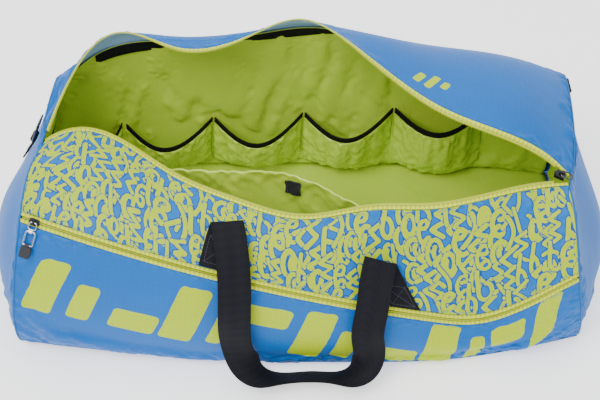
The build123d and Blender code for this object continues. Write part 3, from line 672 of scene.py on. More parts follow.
def arc_lengths(points: Array, axis: int) -> Array:
    """Distance travelled along one axis of a grid of points, from zero."""
    steps = np.linalg.norm(np.diff(points, axis=axis), axis=-1)
    start = np.zeros_like(np.take(steps, [0], axis=axis))
    return np.concatenate([start, np.cumsum(steps, axis=axis)], axis=axis)


def set_uv(piece: bpy.types.Object, values: Array) -> None:
    """Give each vertex its place on the cloth, in metres."""
    mesh = piece.data
    layer = mesh.uv_layers.new(name="UVMap")
    corners = np.empty(len(mesh.loops), np.int32)
    mesh.loops.foreach_get("vertex_index", corners)
    layer.data.foreach_set("uv", values.reshape(-1, 2)[corners].astype(np.float32).ravel())


def set_attribute(piece: bpy.types.Object, name: str, values: Array) -> None:
    """Give each vertex one number."""
    layer = piece.data.attributes.new(name, "FLOAT", "POINT")
    layer.data.foreach_set("value", values.astype(np.float32).ravel())


def wall(outer: Array, inner: Array) -> tuple[Array, Array]:
    """A closed sheet between two grids of the same shape.

    The inner grid's faces are turned round, and four strips of faces join the borders.

    Args:
        outer: Points of the outer face, rows by columns by three.
        inner: Points of the inner face.

    Returns:
        All points and all faces.
    """
    rows, columns = outer.shape[:2]
    front = grid_faces(rows, columns)
    back = front[:, ::-1] + rows * columns
    number = np.arange(rows * columns).reshape(rows, columns)
    rim = np.concatenate([number[:-1, 0], number[-1, :-1], number[1:, -1][::-1], number[0, 1:][::-1]])
    after = np.roll(rim, -1)
    side = np.stack([rim, rim + rows * columns, after + rows * columns, after], -1)
    return np.vstack([outer.reshape(-1, 3), inner.reshape(-1, 3)]), np.vstack([front, back, side])


@dataclass
class Sheet:
    """One sheet of cloth on a surface, with its creases and what it stands for."""

    name: str
    surface: Surface
    across: tuple[float | Limit, float | Limit]
    down: tuple[float | Limit, float | Limit]
    outer: float
    thickness: float
    finish: Finish
    slot: str
    nodes: tuple[str, ...]
    body: str = "bag"
    held: str = "stretched"
    pitch: float = 0.0035
    slack: float = 0.0
    proud: tuple[float, float] = (-0.003, 0.006)
    creases: Callable[[Array, Array, Array], Array] | None = None
    print_edge: Callable[[Array], Array] | None = None
    calm: float = 0.0
    back_finish: Finish | None = None
    points: Array = field(default=None, repr=False)
    uv: Array = field(default=None, repr=False)
    normals: Array = field(default=None, repr=False)
    rise: Array = field(default=None, repr=False)
    rest: tuple[Array, Array] = field(default=None, repr=False)
    coarse: bpy.types.Object | None = field(default=None, repr=False)

    def lay_out(self, rows: int, columns: int) -> tuple[Array, Array, Array]:
        """The surface's points, normals and shares on an even grid, one row for each step down."""
        a = np.linspace(0, 1, columns)[None, :]
        b = np.linspace(0, 1, rows)[:, None]
        u = self.across[0] + (self.across[1] - self.across[0]) * a + 0 * b
        low, high = (d(u) if callable(d) else np.full_like(u, d) for d in self.down)
        v = low + (high - low) * b
        normals = self.surface.normal(u, v)
        return self.surface.point(u, v) + normals * self.outer, normals, np.stack([u, v], -1)

    def size(self) -> tuple[float, float]:
        """Greatest length across and down, in metres."""
        points, _, _ = self.lay_out(24, 48)
        return float(arc_lengths(points, 1)[:, -1].max()), float(arc_lengths(points, 0)[-1].max())

    def plan(self) -> None:
        """Settle the fine grid, the cloth's own coordinates and its creases."""
        width, length = self.size()
        rows, columns = (max(6, int(round(x / self.pitch)) + 1) for x in (length, width))
        self.points, self.normals, shares = self.lay_out(rows, columns)
        along = arc_lengths(self.points, 1)
        middle = along[rows // 2]
        self.uv = np.stack([np.broadcast_to(middle, along.shape), arc_lengths(self.points, 0)], -1)
        self.rise = np.zeros(self.points.shape[:2])
        if self.creases:
            self.rise = self.creases(shares[..., 0], shares[..., 1], self.uv) * self.fade()

    def fade(self) -> Array:
        """A weight from zero at the sewn edges to one 12 mm inside them, or further under a calm top."""
        rows, columns = self.points.shape[:2]
        down = arc_lengths(self.points, 0)
        along = arc_lengths(self.points, 1)
        near = np.minimum(along, along[:, -1:] - along)
        near = np.minimum(near, np.minimum(down, down[-1:] - down))
        share = np.clip(near / SEWN, 0, 1) * np.clip((down + MM) / (self.calm + MM), 0, 1)
        return share * share * (3 - 2 * share)

    def hang(self, number: int) -> None:
        """Make the coarse cloth that is simulated, pinned at its sewn edges."""
        width, length = self.size()
        rows, columns = (int(np.clip(round(x / COARSE) + 1, 8, 130)) for x in (length, width))
        points, normals, _ = self.lay_out(rows, columns)
        rng = np.random.default_rng(100 + number)
        seed = rng.normal(0, CRUMPLE, points.shape[:2])
        self.rest = points, normals
        piece = make_object(f"coarse_{self.name}", points + normals * seed[..., None], grid_faces(rows, columns),
                            self.finish)
        held = np.zeros((rows, columns))
        held[[0, -1]] = held[:, [0, -1]] = 1
        group = piece.vertex_groups.new(name="sewn")
        group.add(np.flatnonzero(held.ravel()).tolist(), 1.0, "REPLACE")
        cloth = piece.modifiers.new("hang", "CLOTH")
        settings = cloth.settings
        settings.quality = 6
        settings.mass = 0.15
        settings.tension_stiffness = settings.compression_stiffness = 25
        settings.shear_stiffness = 12
        settings.bending_stiffness = 0.8
        settings.air_damping = 3
        settings.vertex_group_mass = "sewn"
        settings.shrink_min = -self.slack
        settings.effector_weights.gravity = 0.35
        cloth.collision_settings.use_collision = False
        self.coarse = piece

    def take_down(self) -> None:
        """Carry the simulated folds to the fine grid, within the room that the cloth has.

        The move is split into its part along the normal, which is added to the creases, and the
        rest, which is held to 3 mm.  Splines carry both to the fine grid.
        """
        points, normals = self.rest
        graph = bpy.context.evaluated_depsgraph_get()
        mesh = self.coarse.evaluated_get(graph).to_mesh()
        flat = np.empty(len(mesh.vertices) * 3, np.float32)
        mesh.vertices.foreach_get("co", flat)
        move = flat.reshape(points.shape) - points
        move[[0, -1]] = 0
        move[:, [0, -1]] = 0
        rise = np.sum(move * normals, -1)
        slide = move - normals * rise[..., None]
        slide *= np.minimum(1, SLIDE / np.maximum(np.linalg.norm(slide, axis=-1), 1e-9))[..., None]
        rows, columns = points.shape[:2]
        fine_rows, fine_columns = self.points.shape[:2]
        down = spline_weights(np.linspace(0, 1, rows), np.linspace(0, 1, fine_rows))
        over = spline_weights(np.linspace(0, 1, columns), np.linspace(0, 1, fine_columns))
        self.points = self.points + np.einsum("ir,rck,jc->ijk", down, slide, over, optimize=True)
        share = np.clip((arc_lengths(self.points, 0) + MM) / (self.calm + MM), 0, 1)
        self.rise = self.rise + np.einsum("ir,rc,jc->ij", down, rise, over, optimize=True) * share
        old = self.coarse.data
        bpy.data.objects.remove(self.coarse)
        bpy.data.meshes.remove(old)
        self.coarse = None

    def finish_up(self) -> bpy.types.Object:
        """Give the sheet its wall and its finish, hang it on its body and hide the CAD parts that it stands for."""
        low, high = self.proud
        soft = np.where(self.rise > 0, high * np.tanh(self.rise / high), low * np.tanh(self.rise / low))
        self.points = self.points + self.normals * soft[..., None]
        down = np.gradient(self.points, axis=0)
        along = np.gradient(self.points, axis=1)
        normals = unit(np.cross(along, down))
        normals *= np.sign(np.sum(normals * self.normals))
        inner = self.points - normals * self.thickness
        flip = (float(np.sum(np.cross(down, along) * self.normals)) < 0) != (self.thickness < 0)
        points, faces = wall(self.points, inner)
        if flip:
            faces = faces[:, ::-1]
        piece = make_object(self.name, points, faces, self.finish)
        set_uv(piece, np.concatenate([self.uv, self.uv]))
        if self.back_finish:
            piece.data.materials.append(material(self.back_finish))
            rows, columns = self.points.shape[:2]
            sides = np.zeros(len(faces), np.int32)
            sides[(rows - 1) * (columns - 1):2 * (rows - 1) * (columns - 1)] = 1
            piece.data.polygons.foreach_set("material_index", sides)
        if self.print_edge:
            edge = self.print_edge(self.uv)
            set_attribute(piece, "print_edge", np.concatenate([edge, np.full_like(edge, UNPRINTED)]))
        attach(piece, self.body)
        if self.nodes:
            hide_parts(*self.nodes)
        width = float(arc_lengths(self.points, 1)[:, -1].max())
        length = float(arc_lengths(self.points, 0)[-1].max())
        LOG.info("%s: %.0f by %.0f mm, %d faces", self.name, width / MM, length / MM, len(faces))
        return piece


def simulate(sheets: list[Sheet], frames: int = 14) -> None:
    """Let every slack sheet buckle between its sewn edges, all in one run."""
    loose = [s for s in sheets if s.slack]
    if not loose:
        return
    for number, sheet in enumerate(loose):
        sheet.hang(number)
    scene = bpy.context.scene
    for frame_number in range(1, frames + 1):
        scene.frame_set(frame_number)
    for sheet in loose:
        sheet.take_down()
    scene.frame_set(1)


# --------------------------------------------------------------------------- small pieces
SLANT = np.array([0.3, 0.2, 0.93])      # a direction that no seam runs along
CAP_SHARE = 0.02                        # how far a strip's ends are drawn in

def tube(name: str, path: Array, radius: float, finish: Finish,
         sides: int = 8) -> bpy.types.Object:
    """A round strip along a path, closed at both ends.

    Each ring is the path's point plus radius times the cosine of an angle across and the sine upright.

    Args:
        name: The piece's name.
        path: Points along the middle.
        radius: Half the thickness.
        finish: What it is made of.
        sides: Corners of its section, an even number.

    Returns:
        The piece.
    """
    heading = unit(np.gradient(path, axis=0))
    across = np.broadcast_to(SLANT, path.shape)
    across = unit(across - heading * np.sum(across * heading, -1, keepdims=True))
    upright = np.cross(heading, across)
    angle = np.linspace(0, 2 * math.pi, sides, endpoint=False)[:, None, None]
    taper = np.ones(len(path))
    taper[[0, -1]] = CAP_SHARE
    ring = (np.cos(angle) * across + np.sin(angle) * upright) * radius * taper[:, None]
    points = path + ring
    faces = grid_faces(sides, len(path), close_rows=True)
    number = np.arange(sides * len(path)).reshape(sides, len(path))
    caps = [[number[k, end], number[k + 1, end], number[sides - 2 - k, end], number[sides - 1 - k, end]][::step]
            for end, step in ((0, -1), (-1, 1)) for k in range(sides // 2 - 1)]
    piece = make_object(name, points, np.vstack([faces, caps]), finish)
    length = np.broadcast_to(arc_lengths(path[None], 1), points.shape[:2])
    turn = np.broadcast_to(np.linspace(0, radius * 2 * math.pi, sides)[:, None], points.shape[:2])
    set_uv(piece, np.stack([length, turn], -1))
    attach(piece, "bag")
    return piece


CUBE = np.array([[-1, -1, -1], [1, -1, -1], [1, 1, -1], [-1, 1, -1],
                 [-1, -1, 1], [1, -1, 1], [1, 1, 1], [-1, 1, 1]]) / 2
CUBE_FACES = np.array([[0, 3, 2, 1], [4, 5, 6, 7], [0, 1, 5, 4], [1, 2, 6, 5], [2, 3, 7, 6], [3, 0, 4, 7]])


def beads(name: str, centres: Array, along: Array, out: Array, size: tuple[float, float, float], finish: Finish,
          body: str = "bag", taper: float = 0.6) -> bpy.types.Object:
    """Many small blocks, such as stitches or zip teeth, with their tops drawn in.

    Args:
        name: The piece's name.
        centres: The middle of each block.
        along: The direction of each block's length.
        out: The direction of its height.
        size: Length, width and height.
        finish: What they are made of.
        body: The body that they ride on.
        taper: Size of the top over that of the foot.

    Returns:
        The piece.
    """
    along = unit(along)
    out = unit(out - along * np.sum(out * along, -1, keepdims=True))
    across = np.cross(out, along)
    block = CUBE * np.array(size)
    block[4:, :2] *= taper
    points = (centres[:, None] + block[None, :, :1] * along[:, None] + block[None, :, 1:2] * across[:, None]
              + block[None, :, 2:] * out[:, None])
    faces = (CUBE_FACES[None] + 8 * np.arange(len(centres))[:, None, None])
    piece = make_object(name, points, faces, finish, smooth=False)
    set_uv(piece, points[..., :2])
    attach(piece, body)
    return piece


def stitch_line(path: Array, pitch: float = 0.0042) -> tuple[Array, Array]:
    """Even steps along a path: the middle of each stitch and its direction."""
    length = arc_lengths(path[None], 1)[0]
    at = np.arange(pitch / 2, length[-1], pitch)
    centres = np.stack([np.interp(at, length, path[:, k]) for k in range(3)], -1)
    ahead = np.stack([np.interp(at + pitch / 4, length, path[:, k]) for k in range(3)], -1)
    behind = np.stack([np.interp(at - pitch / 4, length, path[:, k]) for k in range(3)], -1)
    return centres, ahead - behind


# --------------------------------------------------------------------------- printed patterns
def stroke_distance(points: Array, line: Array) -> Array:
    """Distance from each point to a broken line: the nearest point of each run, and the least of them."""
    best = np.full(points.shape[:-1], 1e9)
    for a, b in zip(line[:-1], line[1:]):
        run = b - a
        share = np.clip((points - a) @ run / max(run @ run, 1e-12), 0, 1)
        best = np.minimum(best, np.linalg.norm(points - a - share[..., None] * run, axis=-1))
    return best


@dataclass(frozen=True)
class Scribbles:
    """A dense abstract print of zigzags, loops, hooks and curls, each drawn over the last with a gap round it."""

    seed: int = 11
    step: float = 0.0150
    rise: float = 0.031
    gap: float = 0.0015

    def line(self, kind: int, x: float, top: float, low: float, rng: np.random.Generator) -> Array:
        """One stroke, from top to low around x: t runs from 0 to 1 and the sideways place follows waves of t."""
        t = np.linspace(0, 1, 22)
        wide = rng.uniform(0.0055, 0.009)
        lean = rng.uniform(-0.012, 0.012)
        y = top + (low - top) * t
        if kind == 0:
            turns = rng.integers(3, 6)
            side = 2 * np.abs(2 * (t * turns / 2 % 1) - 1) - 1
        elif kind == 1:
            side = np.sin(2 * math.pi * t * 2.2)
            y = y + 0.010 * np.cos(2 * math.pi * t * 2.2)
        elif kind == 2:
            angle = np.clip((t - 0.55) / 0.45, 0, 1) * 1.5 * math.pi
            side = -1 + (1 - np.cos(angle)) * 1.0
            hook = top + (low - top) * 0.7 + 0.012 * np.sin(angle)
            y = np.where(t > 0.55, hook, top + (low - top) * t / 0.55 * 0.7)
        elif kind == 3:
            angle = t * 3.2 * math.pi
            side = np.cos(angle) * (1 - 0.55 * t) * 1.3
            y = (top + low) / 2 + np.sin(angle) * (1 - 0.55 * t) * (low - top) * 0.42
        else:
            side = np.sin(math.pi * t) * 1.2 - 0.6
        return np.stack([x + side * wide + lean * (t - 0.5), y], -1)

    def edge(self, uv: Array) -> Array:
        """Signed distance to the ink's edge, below zero inside it."""
        rng = np.random.default_rng(self.seed)
        width = float(uv[..., 0].max())
        field_now = np.full(uv.shape[:-1], UNPRINTED)
        down = uv[..., 1].max(axis=0)
        along = uv[0, :, 0]
        for column, x in enumerate(np.arange(-0.004, width + 0.01, self.step)):
            height = float(np.interp(x, along, down))
            near = np.abs(along - x) < 0.032
            for y in np.arange(self.rise * (0.1 + 0.5 * (column % 2)), height + 0.01, self.rise):
                kind = int(rng.choice(5, p=[0.30, 0.22, 0.20, 0.18, 0.10]))
                middle = y + rng.uniform(-0.005, 0.005)
                reach = rng.uniform(0.034, 0.048) / 2
                line = self.line(kind, x + rng.uniform(-0.005, 0.005), middle - reach, middle + reach, rng)
                stroke = stroke_distance(uv[:, near], line) - rng.uniform(0.0021, 0.0031)
                field_now[:, near] = np.minimum(stroke, np.maximum(field_now[:, near], self.gap - stroke))
        return field_now


def box_distance(points: Array, centre: tuple[float, float], half: tuple[float, float], lean: float,
                 radius: float) -> Array:
    """Signed distance to a leaning bar with round corners: the place is sheared back, then boxed."""
    x = points[..., 0] - centre[0] + lean * (points[..., 1] - centre[1])
    y = points[..., 1] - centre[1]
    outside = np.stack([np.abs(x) - half[0] + radius, np.abs(y) - half[1] + radius], -1)
    return (np.linalg.norm(np.maximum(outside, 0), axis=-1) + np.minimum(outside.max(-1), 0) - radius)


@dataclass(frozen=True)
class BoldShapes:
    """Large leaning bars and low blocks across the pocket, each its x, half width, half height, lean and drop."""

    bars: tuple[tuple[float, ...], ...] = (
        (0.040, 0.019, 0.038, 0.35, 0.0), (0.088, 0.014, 0.026, 0.35, 0.010),
        (0.150, 0.028, 0.016, 0.35, 0.022),
        (0.213, 0.020, 0.042, 0.35, 0.0), (0.256, 0.009, 0.028, 0.35, 0.010),
        (0.314, 0.030, 0.014, 0.35, -0.018),
        (0.372, 0.019, 0.040, 0.35, 0.004), (0.412, 0.012, 0.026, 0.35, 0.014),
        (0.472, 0.029, 0.016, 0.35, 0.020),
        (0.532, 0.019, 0.040, 0.35, 0.004), (0.574, 0.009, 0.028, 0.35, 0.012),
        (0.621, 0.022, 0.012, 0.35, -0.008),
        (0.668, 0.015, 0.034, 0.35, 0.004))

    def middle(self, x: float) -> float:
        """How far below the zip they are centred: less towards the right, where the panel is narrower."""
        return 0.074 - 0.048 * x / LENGTH

    def edge(self, uv: Array) -> Array:
        """Signed distance to the ink's edge, below zero inside it."""
        best = np.full(uv.shape[:-1], UNPRINTED)
        for x, half, tall, lean, rise in self.bars:
            best = np.minimum(best, box_distance(uv, (x, self.middle(x) + rise), (half, tall), lean, 0.006))
        return best


@dataclass(frozen=True)
class SmallMark:
    """Three short leaning bars, a plain mark near the lid's right end."""

    u: float
    v: float

    def edge(self, uv: Array) -> Array:
        """Signed distance to the ink's edge, below zero inside it."""
        best = np.full(uv.shape[:-1], UNPRINTED)
        for k, tall in enumerate((0.010, 0.014, 0.007)):
            centre = (self.u + 0.016 * k, self.v + 0.004 * k)
            best = np.minimum(best, box_distance(uv, centre, (0.0042, tall), -0.5, 0.002))
        return best


# --------------------------------------------------------------------------- the bag's sub-assemblies
def folds(*lines: tuple[float, float, float, float, float, float]) -> Callable[[Array, Array, Array], Array]:
    """Soft creases on a sheet.

    Each crease is a ridge across a straight line, with a shallow hollow at both sides: its height
    follows (1 - d^2) exp(-d^2 / 2), where d is the distance from the line over the crease's width,
    and it fades out past the ends of the line.

    Args:
        *lines: Each crease's u and v at one end and the other, its width and its height, in metres.

    Returns:
        A function of the two shares and the cloth's coordinates.
    """
    def height(u: Array, v: Array, uv: Array) -> Array:
        total = np.zeros_like(u)
        for x0, y0, x1, y1, width, rise in lines:
            start, run = np.array([x0, y0]), np.array([x1 - x0, y1 - y0])
            length = float(np.linalg.norm(run))
            away = uv - start
            along = away @ (run / length) / length
            side = (away[..., 0] * run[1] - away[..., 1] * run[0]) / length / width
            ends = np.exp(-np.maximum(np.abs(along - 0.5) - 0.35, 0) ** 2 / 0.02)
            total += rise * (1 - side ** 2) * np.exp(-side ** 2 / 2) * ends
        return total
    return height


def drapes(count: float, rise: float, phase: float, lean: float = 0.0) -> Callable[[Array, Array, Array], Array]:
    """Long soft folds that hang down a sheet: sines across it, bent by slower ones, that grow downwards."""
    def height(u: Array, v: Array, uv: Array) -> Array:
        span = uv[..., 0].max()
        depth = uv[..., 1] / max(float(uv[..., 1].max()), 1e-6)
        x = uv[..., 0] / span * count + lean * depth
        wander = 0.35 * np.sin(2 * math.pi * (0.37 * x + phase))
        wander += 0.2 * np.sin(2 * math.pi * (0.81 * x - 0.6 * depth))
        main = np.sin(2 * math.pi * (x + wander))
        small = np.sin(2 * math.pi * (2.3 * x + phase + 0.5 * depth))
        return rise * (main + 0.4 * small) * (0.35 + 0.65 * np.sin(math.pi * np.clip(depth, 0, 1)))
    return height


def both(*parts: Callable[[Array, Array, Array], Array]) -> Callable[[Array, Array, Array], Array]:
    """The sum of several crease patterns."""
    return lambda u, v, uv: sum(part(u, v, uv) for part in parts)


@dataclass
class Shell:
    """The outer panels of coated cloth and the tape over their seams."""

    piping: float = 1.3 * MM
    seam: float = SEAM_GAP / LENGTH
    end_margin: float = 2.8 * MM

    def sheets(self) -> list[Sheet]:
        """The six outer panels."""
        pocket_half = COIL_WIDTH / 2 + ZIP_GAP + POCKET_TAPE + SEAM_GAP
        across = (self.seam, 1 - self.seam)
        mouth = MAIN_TAPE + 2 * SEAM_GAP
        inward, outward = -0.0021, 0.0065
        upper_creases = folds((0.02, 0.015, 0.11, 0.10, 0.010, 0.0035), (0.05, 0.0, 0.15, 0.085, 0.009, 0.003),
                              (0.0, 0.05, 0.07, 0.11, 0.010, 0.003), (0.60, 0.02, 0.69, 0.09, 0.010, 0.003),
                              (0.56, 0.10, 0.68, 0.03, 0.011, 0.0035), (0.18, 0.02, 0.24, 0.07, 0.012, 0.002),
                              (0.33, 0.01, 0.30, 0.07, 0.014, 0.0016), (0.50, 0.0, 0.47, 0.07, 0.012, 0.002))
        pocket_creases = folds((0.03, 0.05, 0.16, 0.12, 0.014, 0.003), (0.10, 0.02, 0.36, 0.09, 0.018, 0.0025),
                               (0.42, 0.03, 0.60, 0.09, 0.012, 0.0025), (0.55, 0.12, 0.68, 0.04, 0.011, 0.003),
                               (0.02, 0.16, 0.20, 0.13, 0.012, 0.002), (0.30, 0.12, 0.50, 0.15, 0.013, 0.002))
        lid_creases = folds((0.58, 0.02, 0.72, 0.12, 0.014, 0.003), (0.50, 0.01, 0.56, 0.10, 0.015, 0.003),
                            (0.10, 0.03, 0.30, 0.07, 0.012, 0.002), (0.62, 0.10, 0.76, 0.05, 0.012, 0.003))
        back_creases = folds((0.05, 0.02, 0.22, 0.12, 0.014, 0.003), (0.48, 0.12, 0.66, 0.03, 0.014, 0.003),
                             (0.25, 0.03, 0.45, 0.06, 0.016, 0.002))
        made = [
            Sheet("front_upper", FRONT, across, (below(FRONT, 0, mouth), below(FRONT, ZIP_ROW, -pocket_half)), 0.0,
                  SHELL_WALL, Finish.PRINTED, "printed_cloth", ("front_upper_panel",), pitch=0.0019, slack=0.016,
                  proud=(inward, outward), creases=upper_creases, print_edge=Scribbles().edge),
            Sheet("front_pocket", FRONT, across, (below(FRONT, ZIP_ROW, pocket_half), 4.0), 0.0, SHELL_WALL,
                  Finish.POCKET, "pocket_cloth", ("front_pocket_panel",), pitch=0.0020, slack=0.018,
                  proud=(inward, outward), creases=pocket_creases, print_edge=BoldShapes().edge),
            Sheet("lid", BACK, across, (below(BACK, 0, MAIN_TAPE + SEAM_GAP), BACK_SEAM), 0.0, SHELL_WALL,
                  Finish.POCKET, "blue_cloth", ("lid_panel",), pitch=0.0030, slack=0.014, proud=(inward, outward),
                  creases=lid_creases, print_edge=SmallMark(0.512, 0.030).edge,
                  back_finish=Finish.FACING),
            Sheet("back", BACK, across, (below(BACK, BACK_SEAM, SEAM_GAP), 4.0), 0.0, SHELL_WALL, Finish.SHELL,
                  "blue_cloth", ("back_panel",), slack=0.016, proud=(inward, outward), creases=back_creases)]
        rim = (self.end_margin / DEPTH, 1 - self.end_margin / DEPTH)
        for side, patch in ENDS.items():
            lines = ((0.04, 0.05, 0.20, 0.13, 0.013, 0.003), (0.26, 0.03, 0.14, 0.12, 0.013, 0.003),
                     (0.05, 0.14, 0.16, 0.09, 0.012, 0.002))
            made.append(Sheet(f"{side}_end", patch, rim, (0.0, 1 - 2.4 * self.end_margin / HEIGHT), 0.0, SHELL_WALL,
                              Finish.SHELL, "blue_cloth", (f"{side}_end_panel",), slack=0.018,
                              proud=(inward, outward), creases=folds(*lines)))
        return made

    def seams(self) -> None:
        """Round piping along both end seams, the foot and the lid's seam."""
        for name, skin, at in (("front_left", FRONT, 0.0), ("front_right", FRONT, 1.0),
                               ("back_left", BACK, 0.0), ("back_right", BACK, 1.0)):
            v = np.linspace(0.12, 3.98, 90)
            u = np.full_like(v, at)
            path = skin.point(u, v) - skin.normal(np.clip(u, 0.01, 0.99), v) * 0.4 * MM
            tube(f"{name}_piping", path, self.piping, Finish.PIPING)
        for name, skin, row, gap in (("lid_seam", BACK, BACK_SEAM, 0.0005), ("front_foot", FRONT, 3.995, 0.0),
                                     ("back_foot", BACK, 3.995, 0.0)):
            u = np.linspace(0.004, 0.996, 160)
            tube(f"{name}_piping", skin.out(u, np.full_like(u, row), gap), 0.8 * self.piping, Finish.PIPING)

    def topstitch(self, sheets: dict[str, Sheet]) -> None:
        """A row of stitches 2.5 mm inside the panels' edges, laid on the finished cloth."""
        for name, at_end in (("front_upper", False), ("front_upper", True), ("front_pocket", False), ("lid", False)):
            sheet = sheets[name]
            down = arc_lengths(sheet.points, 0)
            away = down if not at_end else down[-1:] - down
            row = np.abs(away - 0.0026).argmin(axis=0)
            columns = np.arange(2, sheet.points.shape[1] - 2)
            path = sheet.points[row[columns], columns]
            out = sheet.normals[row[columns], columns]
            weights = np.hanning(9) / np.hanning(9).sum()
            path = np.stack([np.convolve(np.pad(path[:, k], 4, "edge"), weights, "valid") for k in range(3)], -1)
            path = path + out * 0.35 * MM
            centres, heading = stitch_line(path)
            length = arc_lengths(path[None], 1)[0]
            at = arc_lengths(centres[None], 1)[0] + 0.0021
            rise = np.stack([np.interp(at, length, out[:, k]) for k in range(3)], -1)
            beads(f"{name}_{'lower' if at_end else 'upper'}_stitches", centres, heading, rise,
                  (2.8 * MM, 0.7 * MM, 0.6 * MM), Finish.THREAD)


@dataclass
class Inside:
    """The shiny lining, its dark binding, the row of pouches and the divider."""

    skin: float = -LINING_GAP - LINING_WALL - SEAM_GAP
    rim: float = LINING_GAP + LINING_WALL
    binding: float = 14 * MM
    pouches: tuple[float, ...] = (0.06, 0.150, 0.32625, 0.5025, 0.67875, 0.855)
    elastic: float = 8 * MM
    square: float = 20 * MM

    def sheets(self) -> list[Sheet]:
        """Every sheet inside the bag."""
        across = ((self.rim + 2 * MM) / LENGTH, 1 - (self.rim + 2 * MM) / LENGTH)
        inward, outward = -0.010, 0.0011
        made = [
            Sheet("rear_lining", BACK, across, (lining_top, FOOT_SHARE), -LINING_GAP, LINING_WALL, Finish.LINING,
                  "lining", ("back_lining",), held="hung", slack=0.012, proud=(-0.005, outward), pitch=0.0032, calm=0.034,
                  creases=both(drapes(9, 0.0030, 0.3, 0.8), drapes(4, 0.0034, 0.7, -1.6))),
            Sheet("front_wall_lining", FRONT, across, (0.12, FOOT_SHARE), -LINING_GAP, LINING_WALL, Finish.LINING,
                  "lining", ("front_lining",), held="hung", slack=0.012, proud=(inward, outward), pitch=0.0032,
                  creases=both(drapes(8, 0.0030, 0.1, -0.9), drapes(3, 0.004, 0.4, 1.2)))]
        rim = self.rim + 3 * MM
        for side, patch in ENDS.items():
            made.append(Sheet(f"{side}_end_lining", patch, (rim / DEPTH, 1 - rim / DEPTH),
                              (rim / HEIGHT, 1 - 1.8 * rim / HEIGHT), -LINING_GAP, LINING_WALL, Finish.LINING,
                              "lining", (f"{side}_lining",), held="hung", slack=0.012, proud=(-0.012, outward),
                              creases=drapes(5, 0.0022, 0.6, 0.5)))
        step = 1 * MM / LENGTH
        for number, (left, right) in enumerate(zip(self.pouches, self.pouches[1:]), 1):
            pouch = Pouch(BACK, left + step, right - step)
            mouth = below(pouch, 0, self.elastic + SEAM_GAP)
            made.append(Sheet(f"pouch_{number}_cloth", pouch, (0.0, 1.0), (mouth, 1.0), 0.0, -LINING_WALL,
                              Finish.LINING, "lining", (f"pouch_{number}",), held="gathered", slack=0.03,
                              proud=(-0.006, 0.005), pitch=0.0024, creases=self.gathers(number)))
        made.append(Sheet("divider_cloth", DIVIDER, (0.0, 1.0), (0.02, 1.0), 2.4 * MM, 2.4 * MM, Finish.LINING, "lining",
                          ("divider",), body="divider_body", held="hung", slack=0.03, proud=(-0.008, 0.008),
                          creases=drapes(6, 0.0028, 0.2, 1.2), calm=0.012))
        return made

    def gathers(self, number: int) -> Callable[[Array, Array, Array], Array]:
        """Pleats that start at the elastic and die out downwards, with a spacing of about 11 mm."""
        def height(u: Array, v: Array, uv: Array) -> Array:
            wander = 0.4 * np.sin(11 * u + number) + 0.3 * np.sin(23 * u + 2 * number)
            depth = uv[..., 1] / float(uv[..., 1].max())
            pleat = np.sin(uv[..., 0] / 0.011 * 2 * math.pi + 3 * wander)
            slow = np.sin(uv[..., 0] / 0.031 * 2 * math.pi + number + 1.5 * depth)
            return 0.0016 * pleat * np.exp(-3.5 * depth) + 0.0022 * slow * np.sin(math.pi * depth)
        return height

    def bands(self) -> list[Sheet]:
        """The binding along the lining's top and the elastic round each pouch mouth."""
        low = lambda u: lining_top(u) + BACK.share_for(u, lining_top(u), self.binding)
        ripple = lambda u, v, uv: 0.0005 * np.sin(uv[..., 0] / 0.009 * 2 * math.pi + 4 * np.sin(uv[..., 0] * 40))
        made = [Sheet("lining_top_binding", BACK, (0.07, 0.95), (lining_top, low), self.skin, TAPE_WALL,
                      Finish.BINDING, "binding", ("lining_binding",), pitch=0.0022, creases=ripple)]
        step = 1 * MM / LENGTH
        for number, (left, right) in enumerate(zip(self.pouches, self.pouches[1:]), 1):
            pouch = Pouch(BACK, left + step, right - step)
            made.append(Sheet(f"pouch_{number}_mouth", pouch, (0.0, 1.0), (0.0, below(pouch, 0, self.elastic)), 0.3 * MM,
                              -1.4 * MM, Finish.ELASTIC, "elastic", (f"pouch_{number}_elastic",), pitch=0.0020,
                              held="gathered",
                              creases=lambda u, v, uv: 0.0006 * np.sin(uv[..., 0] / 0.006 * 2 * math.pi)))
        return made

    def patch(self, divider: Sheet) -> None:
        """A square of hook tape near the divider's top edge, laid on the finished cloth, with stitches round it."""
        rows, columns = divider.points.shape[:2]
        step = self.square / 16
        x = 0.483 * divider.uv[0, -1, 0] + np.arange(-8, 9) * step
        top = divider.uv[-1, columns // 2, 1] - 0.009
        y = top - np.arange(0, 17) * step
        a = np.clip(np.interp(x, divider.uv[0, :, 0], np.arange(columns)).round().astype(int), 0, columns - 1)
        b = np.clip(np.interp(y, divider.uv[:, columns // 2, 1], np.arange(rows)).round().astype(int), 0, rows - 1)
        weights = spline_weights(np.linspace(0, 1, 5), np.linspace(0, 1, 17))
        knots = divider.points[np.ix_(b[::4], a[::4])]
        middle = np.einsum("ir,rck,jc->ijk", weights, knots, weights)
        out = unit(divider.normals[b[8], a[8]])
        top_face = middle + out * 2.4 * MM
        points, faces = wall(top_face, middle + out * 0.2 * MM)
        turned = float(np.cross(top_face[1, 0] - top_face[0, 0], top_face[0, 1] - top_face[0, 0]) @ out) < 0
        piece = make_object("divider_square", points, faces[:, ::-1] if turned else faces, Finish.PATCH)
        set_uv(piece, points[:, [0, 2]])
        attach(piece, "divider_body")
        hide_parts("divider_patch")
        edge = top_face[1:-1, 1:-1]
        border = np.concatenate([edge[0], edge[1:, -1], edge[-1, -2::-1], edge[-2::-1, 0]])
        centres, heading = stitch_line(border, 2.6 * MM)
        beads("divider_square_stitches", centres + out * 0.2 * MM, heading, np.broadcast_to(out, centres.shape),
              (1.9 * MM, 0.6 * MM, 0.5 * MM), Finish.DARK_THREAD, body="divider_body")


